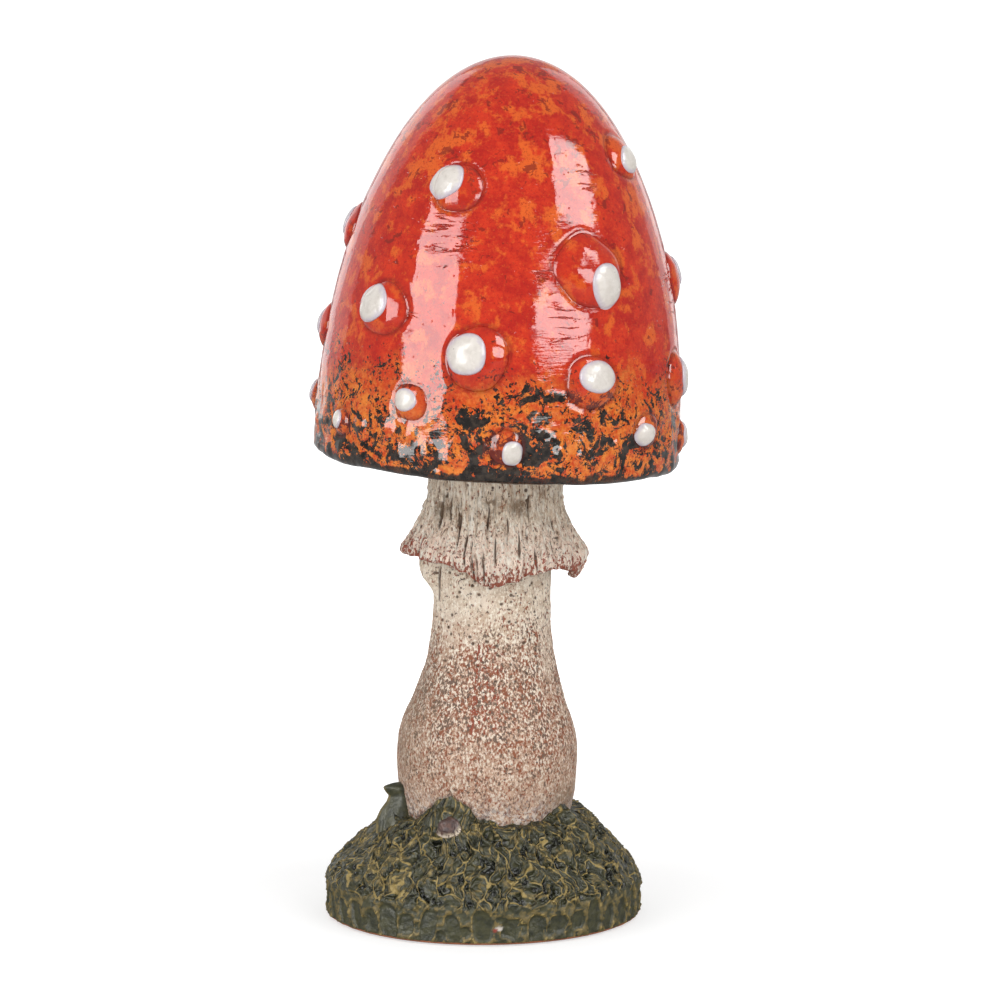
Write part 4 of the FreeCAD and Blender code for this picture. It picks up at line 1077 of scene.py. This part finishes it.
def make_moss(material):
    columns = 640
    angle = turns(columns)[None, :]
    edge = stem_moss_edge(angle)

    # Plain outline: bottom rim, wall, mound as an arc, then up the stem to the ragged edge
    wall = [(35.0, 0.3), (35.8, 0.3), (36.35, 0.55), (FOOT_RADIUS, 1.1)]
    wall += [(FOOT_RADIUS, h) for h in np.linspace(1.5, 8.2, 17)]
    inward, rise = FOOT_RADIUS - COLLAR_RADIUS, COLLAR_HEIGHT - WALL_HEIGHT
    chord = np.array([-inward, rise])
    length = np.hypot(*chord)
    reach = 2.5 * length
    middle = np.array([FOOT_RADIUS, WALL_HEIGHT]) + chord / 2
    centre = middle - np.array([rise, inward]) / length * math.sqrt(reach ** 2 - (length / 2) ** 2)
    start = math.atan2(WALL_HEIGHT - centre[1], FOOT_RADIUS - centre[0])
    end = math.atan2(COLLAR_HEIGHT - centre[1], COLLAR_RADIUS - centre[0])
    arc = np.linspace(start, end, 74)
    slope = np.stack([centre[0] + reach * np.cos(arc), centre[1] + reach * np.sin(arc)], axis=-1)
    radius, height = all_round(np.concatenate([np.array(wall), slope]), columns)

    climb = np.linspace(0, 1, 34)[1:, None]
    shoulder = COLLAR_RADIUS - stem_radius(COLLAR_HEIGHT)
    climb_height = mixed(COLLAR_HEIGHT + 0 * edge, edge, climb ** 1.15)
    thick = mixed(shoulder, 0.25, smooth(climb, 0.0, 0.75)) + 0.5 * (1 - climb)
    radius = np.concatenate([radius, stem_radius(climb_height) + thick])
    height = np.concatenate([height, climb_height])
    lengths = np.hypot(np.diff(radius.mean(axis=1)), np.diff(height.mean(axis=1)))
    run = np.concatenate([[0], np.cumsum(lengths)])[:, None] + 0 * angle

    # Crumbly hollows between thin winding ridges, all drawn out down the slope
    soft = partial(MOSS_LUMPS.soft_round, 30.0, angle, run)
    rough = partial(MOSS_LUMPS.rough_round, 30.0, angle, run)
    way = angle + 0.10 * soft(9.0, 9.0) + 0.035 * soft(2.2, 2.2, 45)
    along = run + soft(4.0, 4.0, 30) * 1.2
    first, second, number = MOSS_LUMPS.cells(round_points(30.0, way, along, 2.5, 4.4) + 60, 1.0)
    thin = 1 - smooth(second - first, 0.03, 0.12)
    worn = smooth(rough(3.2, 3.2, 75), -0.35, 0.15)
    cord = np.abs(MOSS_LUMPS.soft_round(30.0, way, along, 3.4, 7.5, 20))
    cord = (1 - smooth(cord, 0.02, 0.07)) * smooth(soft(6.0, 6.0), -0.4, 0.2)
    line = np.maximum(thin * worn * 0.6, cord)
    low_first, low_second, _ = MOSS_LUMPS.cells(round_points(30.0, way, run, 1.0, 1.15) + 90)
    bubble = smooth(low_second - low_first, 0.10, 0.4)
    crumbs = rough(1.3, 1.3, 105)
    # Deeper pits, where the solid has them too
    pits = smooth(second - first, 0.16, 0.42) * (number > 0.35)
    x, y = radius * np.cos(angle), radius * np.sin(angle)
    crown = 0.0505 * length
    for index in range(PIT_COUNT):
        share = 0.10 + 0.78 * index / PIT_COUNT
        direction = math.radians(index * SCATTER)
        out = crown * 4 * share * (1 - share)
        far_out = FOOT_RADIUS - inward * share + rise / length * out
        high_up = WALL_HEIGHT + rise * share + inward / length * out
        gap = np.sqrt((x - far_out * math.cos(direction)) ** 2 + (y - far_out * math.sin(direction)) ** 2
                      + (height - high_up) ** 2)
        pits = np.maximum(pits, 1 - smooth(gap + crumbs * 0.5, 1.2, 2.3))
    pits = pits * (1 - line)
    patch = smooth(rough(8.0, 6.0, 150), 0.10, 0.45)
    ridge = 0.30 + 0.22 * patch - 0.36 * pits * (0.5 + 0.5 * bubble) + 0.40 * line + 0.12 * crumbs
    relief = 0.15 - pits * (0.55 + 0.35 * number) + 0.34 * line + pits * bubble * 0.42 + 0.18 * crumbs

    # Lobes and strands on the collar, and leaves on the wall
    strands = MOSS_LUMPS.soft_round(22.0, angle, height, 1.1, 5.0, 260)
    high = smooth(height, 22.5, 25.5)
    lobe_first, lobe_second, _ = MOSS_LUMPS.cells(round_points(21.0, angle, height, 3.4, 4.6) + 280)
    lobes = smooth(lobe_second - lobe_first, 0.05, 0.22) * (1 - smooth(lobe_first, 0.45, 0.7))
    relief = mixed(relief, 0.30 * strands + 0.35 * lobes + 0.3 * relief, high)
    drawn = smooth(strands, 0.25, 0.6) * 0.42
    ridge = mixed(ridge, np.clip(0.28 + drawn - 0.10 * lobes + 0.10 * crumbs, 0, 1), high * 0.85)
    on_wall = 1 - smooth(height, 7.6, 10.0)
    on_slope = 1 - on_wall
    wall_relief, wall_ridge = wall_moss(angle, height, crumbs, bubble, worn)
    relief = relief * on_slope + wall_relief * on_wall
    ridge = ridge * on_slope + wall_ridge * on_wall
    relief += rough(7.0, 9.0, 300) * 0.75 * smooth(height, 3, 9)
    relief += rough(1.2, 1.2, 340, 2) * 0.10

    # The mound dips at the left, in front of the fin
    relief -= 1.7 * beside(angle, -174, 0.42) * smooth(height, 13, 20)
    for *place, proud in TUFTS:
        relief += proud * mound(angle, height, *place) * (1 - smooth(height, edge - 2.5, edge))
    fade = 1 - smooth(height, edge - 1.6, edge) * smooth(height, 23, 25)
    step = np.gradient(np.stack([radius, height], axis=-1), axis=0)
    size = np.linalg.norm(step, axis=-1) + 1e-6
    move = relief * fade * smooth(height, 0.25, 1.2)
    radius = radius + step[..., 1] / size * move
    height = height - step[..., 0] / size * move

    # The underside, the socket and the vent, and an edge sunk a little into the stem
    low_radius, low_height = all_round([(33.15, 1.5), (33.15, 0.3)], columns)
    high_radius, high_height = all_round([
        (19.75, 20.0), (19.75, SOCKET_FLOOR), (13.0, SOCKET_FLOOR), (6.0, SOCKET_FLOOR),
        (6.0, 7.0), (6.0, 1.5), (20.0, 1.5),
    ], columns)
    sink_height = np.stack([edge[0] - 0.2, mixed(edge[0], 22.0, 0.5)])
    radius = np.concatenate([low_radius, radius, stem_radius(sink_height) - 0.5, high_radius])
    height = np.concatenate([low_height, height, sink_height, high_height])
    grid = turned(radius, height, angle)
    # The collar follows the stem, which leans a little
    grid[..., 0] += smooth(height, 8.0, COLLAR_HEIGHT) * (STEM_OFFSET + height * math.tan(STEM_LEAN))

    def padded(values, fill=0.0):
        above = len(height) - len(low_height) - len(values)
        return np.pad(values, ((len(low_height), above), (0, 0)), constant_values=fill)

    # A chip knocked out of the wall in front
    chip_way = apart(angle, math.radians(-84.2)) * FOOT_RADIUS
    chip_far = np.hypot(chip_way / 1.0, (height - 4.3) / 0.6)
    red_far = np.hypot((chip_way + 0.9) / 0.7, (height - 3.9) / 0.45)
    outer = padded(0 * ridge + 1)
    attributes = {
        "flow_x": padded(0.030 * np.cos(way)),
        "flow_y": padded(0.030 * np.sin(way)),
        "flow_z": padded(along * 0.55 * MM),
        "slope": padded(on_slope * mixed(1.0, 0.8, high)),
        "ridge": padded(np.clip(ridge, 0, 1), 0.4),
        "foot": 1 - smooth(height, 0.45, 1.25),
        "chip": (1 - smooth(chip_far, 0.7, 1.1)) * outer,
        "chip_red": (1 - smooth(red_far, 0.6, 1.1)) * outer,
    }
    moss = skin("moss_foot", [(grid, attributes)], GROUND, closed_up=True)
    finish_piece(moss, material, "moss_clay", "moss_base", "moss_tuft_front", "moss_tuft_right",
                 "moss_tuft_back", "moss_tuft_left")


def make_leaf(material):
    """A smooth fin of moss that leans on the stem's left side."""
    up = np.linspace(0, 1, 46)[:, None]
    turn = turns(60)[None, :]
    level = mixed(17.0, 31.0, up)
    outer = np.interp(level, (17.0, 20.0, 22.4, 24.4, 26.4, 27.8, 29.0, 30.0, 31.0),
                      (26.0, 26.0, 25.9, 25.1, 23.7, 23.2, 24.2, 24.7, 23.6))
    inner = 17.0
    half = mixed(6.2, 2.6, smooth(up, 0.0, 0.9))
    reach = (outer - inner) / 2
    along = inner + reach * (1 + np.sign(np.cos(turn)) * np.abs(np.cos(turn)) ** 0.8)
    side = half * np.sign(np.sin(turn)) * np.abs(np.sin(turn)) ** 0.9
    side = side * mixed(1.0, 0.45, smooth(along, inner + reach, outer))
    zero = np.zeros(along.shape)
    side = side + 1.2 * (up - 0.5) ** 2 + 0.5 * MOSS_LUMPS.soft(
        np.stack([along / 5, side / 5, level / 5 + zero], axis=-1))
    close = np.sqrt(np.clip(1 - (np.clip(up - 0.9, 0, 1) / 0.1) ** 2, 0.02, 1))
    middle = (outer + inner) / 2
    along = middle + (along - middle) * close
    side = side * close
    direction = math.radians(-167)
    x = along * math.cos(direction) - side * math.sin(direction)
    y = along * math.sin(direction) + side * math.cos(direction)
    rim = smooth(along, outer - 1.0, outer) * 0.8 + smooth(up, 0.93, 1.0) * 0.5
    streak = MOSS_LUMPS.soft(np.stack([along / 1.2, side / 1.2, level / 5 + zero], axis=-1))
    attributes = {
        "ridge": np.clip(0.24 + rim * 0.40 + 0.35 * smooth(streak, 0.0, 0.6) * (1 - up), 0, 1),
        "slope": 0.45 * (1 - smooth(up, 0.0, 0.45)) + zero,
        "flow_x": along * MM,
        "flow_y": side * MM,
        "flow_z": 0.3 * level * MM + zero,
        "foot": zero,
        "chip": zero,
        "chip_red": zero,
    }
    grid = np.stack([x, y, level + zero], axis=-1)
    leaf = skin("leaf_of_moss", [(grid, attributes)], STEM_SEAT, poles=("low", "high"))
    finish_piece(leaf, material, "moss_clay", "moss_leaf")


def make_bud(material):
    """A small round bud with a broken collar."""
    up = np.linspace(-0.5, math.pi / 2 - 0.05, 30)[:, None]
    turn = turns(48)[None, :]
    radius = 2.7 * np.cos(up) ** 0.85 + 0.45 * np.exp(-((up + 0.05) / 0.16) ** 2)
    grid = turned(radius, 2.3 * np.sin(up), turn)
    grid *= (1 + 0.13 * MOSS_LUMPS.rough(grid / 1.5 + 400))[..., None]
    direction = math.radians(-110)
    out = 19.6 * 1.24
    centre = np.array([out * math.cos(direction), out * math.sin(direction), 24.4])
    tip = np.array(Matrix.Rotation(math.radians(38), 3, (-math.sin(direction), math.cos(direction), 0)))
    grid = grid @ tip.T + centre
    fleck = (1 - smooth(up, 0.10, 0.60)) * (0.30 + 0.70 * beside(turn, -40, 1.4))
    bud = skin("bud", [(grid, {"fleck": fleck})], STEM_SEAT, poles=("low", "high"))
    finish_piece(bud, material, "bud_clay", "mushroom_bud")


# The object

glaze = glaze_finish()
moss_clay = moss_finish()

make_cap(glaze)
make_warts(glaze)
make_spots(white_finish())
make_stem(stem_finish("stem_clay", skirt=False))
make_veil(stem_finish("veil_clay", skirt=True))
make_moss(moss_clay)
make_leaf(moss_clay)
make_bud(bud_finish())

# The solids that stay as they are
for node, material in (("cap_underside", gill_finish()), ("cap_bond", filler_finish()),
                       ("felt_disc", felt_finish())):
    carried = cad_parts[node]
    if carried.material_slots:
        for place in carried.material_slots:
            place.material = material
    else:
        carried.data.materials.append(material)

# Floor, light and camera

scene = bpy.context.scene
scene.view_settings.view_transform = "Standard"


def seen_rays(tree):
    """1 for rays that come straight from the camera or through glass, 0 for the rest."""
    rays = wired(tree, "ShaderNodeLightPath")
    return wired(tree, "ShaderNodeMath", rays["Is Camera Ray"], rays["Is Transmission Ray"],
                 operation="MAXIMUM")[0]


def make_floor():
    mesh = bpy.data.meshes.new("floor")
    half = 12.0
    corners = [(-half, -half, 0), (half, -half, 0), (half, half, 0), (-half, half, 0)]
    mesh.from_pydata(corners, [], [(0, 1, 2, 3)])
    floor = bpy.data.objects.new("floor", mesh)
    scene.collection.objects.link(floor)
    material = bpy.data.materials.new("floor_paper")
    material.use_nodes = True
    tree = material.node_tree
    tree.nodes.clear()
    paper = wired(tree, "ShaderNodeBsdfDiffuse", (0.62, 0.62, 0.62, 1))[0]
    # It glows white to the camera, less so near the object, whose shadow stays
    place = wired(tree, "ShaderNodeTexCoord")["Object"]
    far = wired(tree, "ShaderNodeVectorMath", place, operation="LENGTH")["Value"]
    near = wired(tree, "ShaderNodeMapRange", far, 0.06, 0.30, 0.55, 1.0)["Result"]
    strength = wired(tree, "ShaderNodeMath", near, seen_rays(tree), operation="MULTIPLY")[0]
    shown = wired(tree, "ShaderNodeEmission", None, strength)[0]
    surface = wired(tree, "ShaderNodeAddShader", paper, shown)[0]
    wired(tree, "ShaderNodeOutputMaterial", surface)
    mesh.materials.append(material)


def make_world():
    world = bpy.data.worlds.new("studio")
    world.use_nodes = True
    tree = world.node_tree
    back = tree.nodes["Background"]
    strength = wired(tree, "ShaderNodeMapRange", seen_rays(tree), 0.0, 1.0, 0.45, 1.0)["Result"]
    put(tree, back.inputs["Strength"], strength)
    back.inputs["Color"].default_value = (1, 1, 1, 1)
    scene.world = world


AIM = Vector((0.004, 0, 0.12))


def make_light(name, azimuth, elevation, distance, width, height, radiance, glossy, roll=0):
    """A soft box that faces the object and is seen either in its gloss or on its matt surfaces.

    Its radiance is what a mirror would show of it.
    """
    a, e = math.radians(azimuth), math.radians(elevation)
    way = Vector((math.cos(e) * math.cos(a), math.cos(e) * math.sin(a), math.sin(e)))
    light = bpy.data.lights.new(name, "AREA")
    light.shape = "RECTANGLE"
    light.size, light.size_y = width, height
    light.energy = radiance * width * height * math.pi
    piece = bpy.data.objects.new(name, light)
    piece.location = AIM + way * distance
    piece.rotation_euler = ((-way).to_track_quat("-Z", "Y").to_matrix()
                            @ Matrix.Rotation(math.radians(roll), 3, "Z")).to_euler()
    piece.visible_diffuse = not glossy
    piece.visible_glossy = glossy
    piece.visible_camera = False
    scene.collection.objects.link(piece)


# Boxes that light the form
make_light("left_fill", -141, 15, 1.0, 0.9, 0.7, 2.2, glossy=False)
make_light("right_fill", -46, 19, 1.0, 0.8, 0.8, 2.2, glossy=False)
make_light("front_fill", -92, 3, 1.0, 0.9, 0.5, 1.2, glossy=False)
make_light("back_fill", 95, 40, 1.2, 1.2, 0.8, 0.7, glossy=False)
make_light("top_fill", -90, 82, 1.2, 1.0, 1.0, 0.45, glossy=False)

# Boxes that draw the long highlights in front, and faint ones behind for the edges
make_light("left_box", -140, 16, 1.0, 0.60, 0.80, 8.0, glossy=True, roll=6)
make_light("right_box_high", -26, 38, 1.0, 0.47, 0.46, 9.5, glossy=True, roll=-33)
make_light("right_box_low", -49, 12, 1.0, 0.60, 0.28, 9.5, glossy=True, roll=-9)
make_light("left_edge", 128, 12, 1.0, 0.70, 1.2, 0.45, glossy=True)
make_light("left_rim", 118, 12, 1.1, 0.35, 1.2, 0.7, glossy=True)
make_light("right_edge", 58, 12, 1.0, 0.40, 1.2, 0.5, glossy=True)
make_light("right_rim", 66, 12, 1.1, 0.20, 1.2, 0.6, glossy=True)
make_light("behind", 90, 9, 0.6, 0.36, 0.40, 0.5, glossy=True)

make_floor()
make_world()

camera = bpy.data.cameras.new("camera")
camera.sensor_width, camera.lens = 36.0, 189.0
camera.clip_end = 100.0
eye = bpy.data.objects.new("camera", camera)
eye.location = (3.9 * MM, -1200 * MM, 284 * MM)
eye.rotation_euler = (math.radians(90 - 8.85), 0, 0)
scene.collection.objects.link(eye)
scene.camera = eye
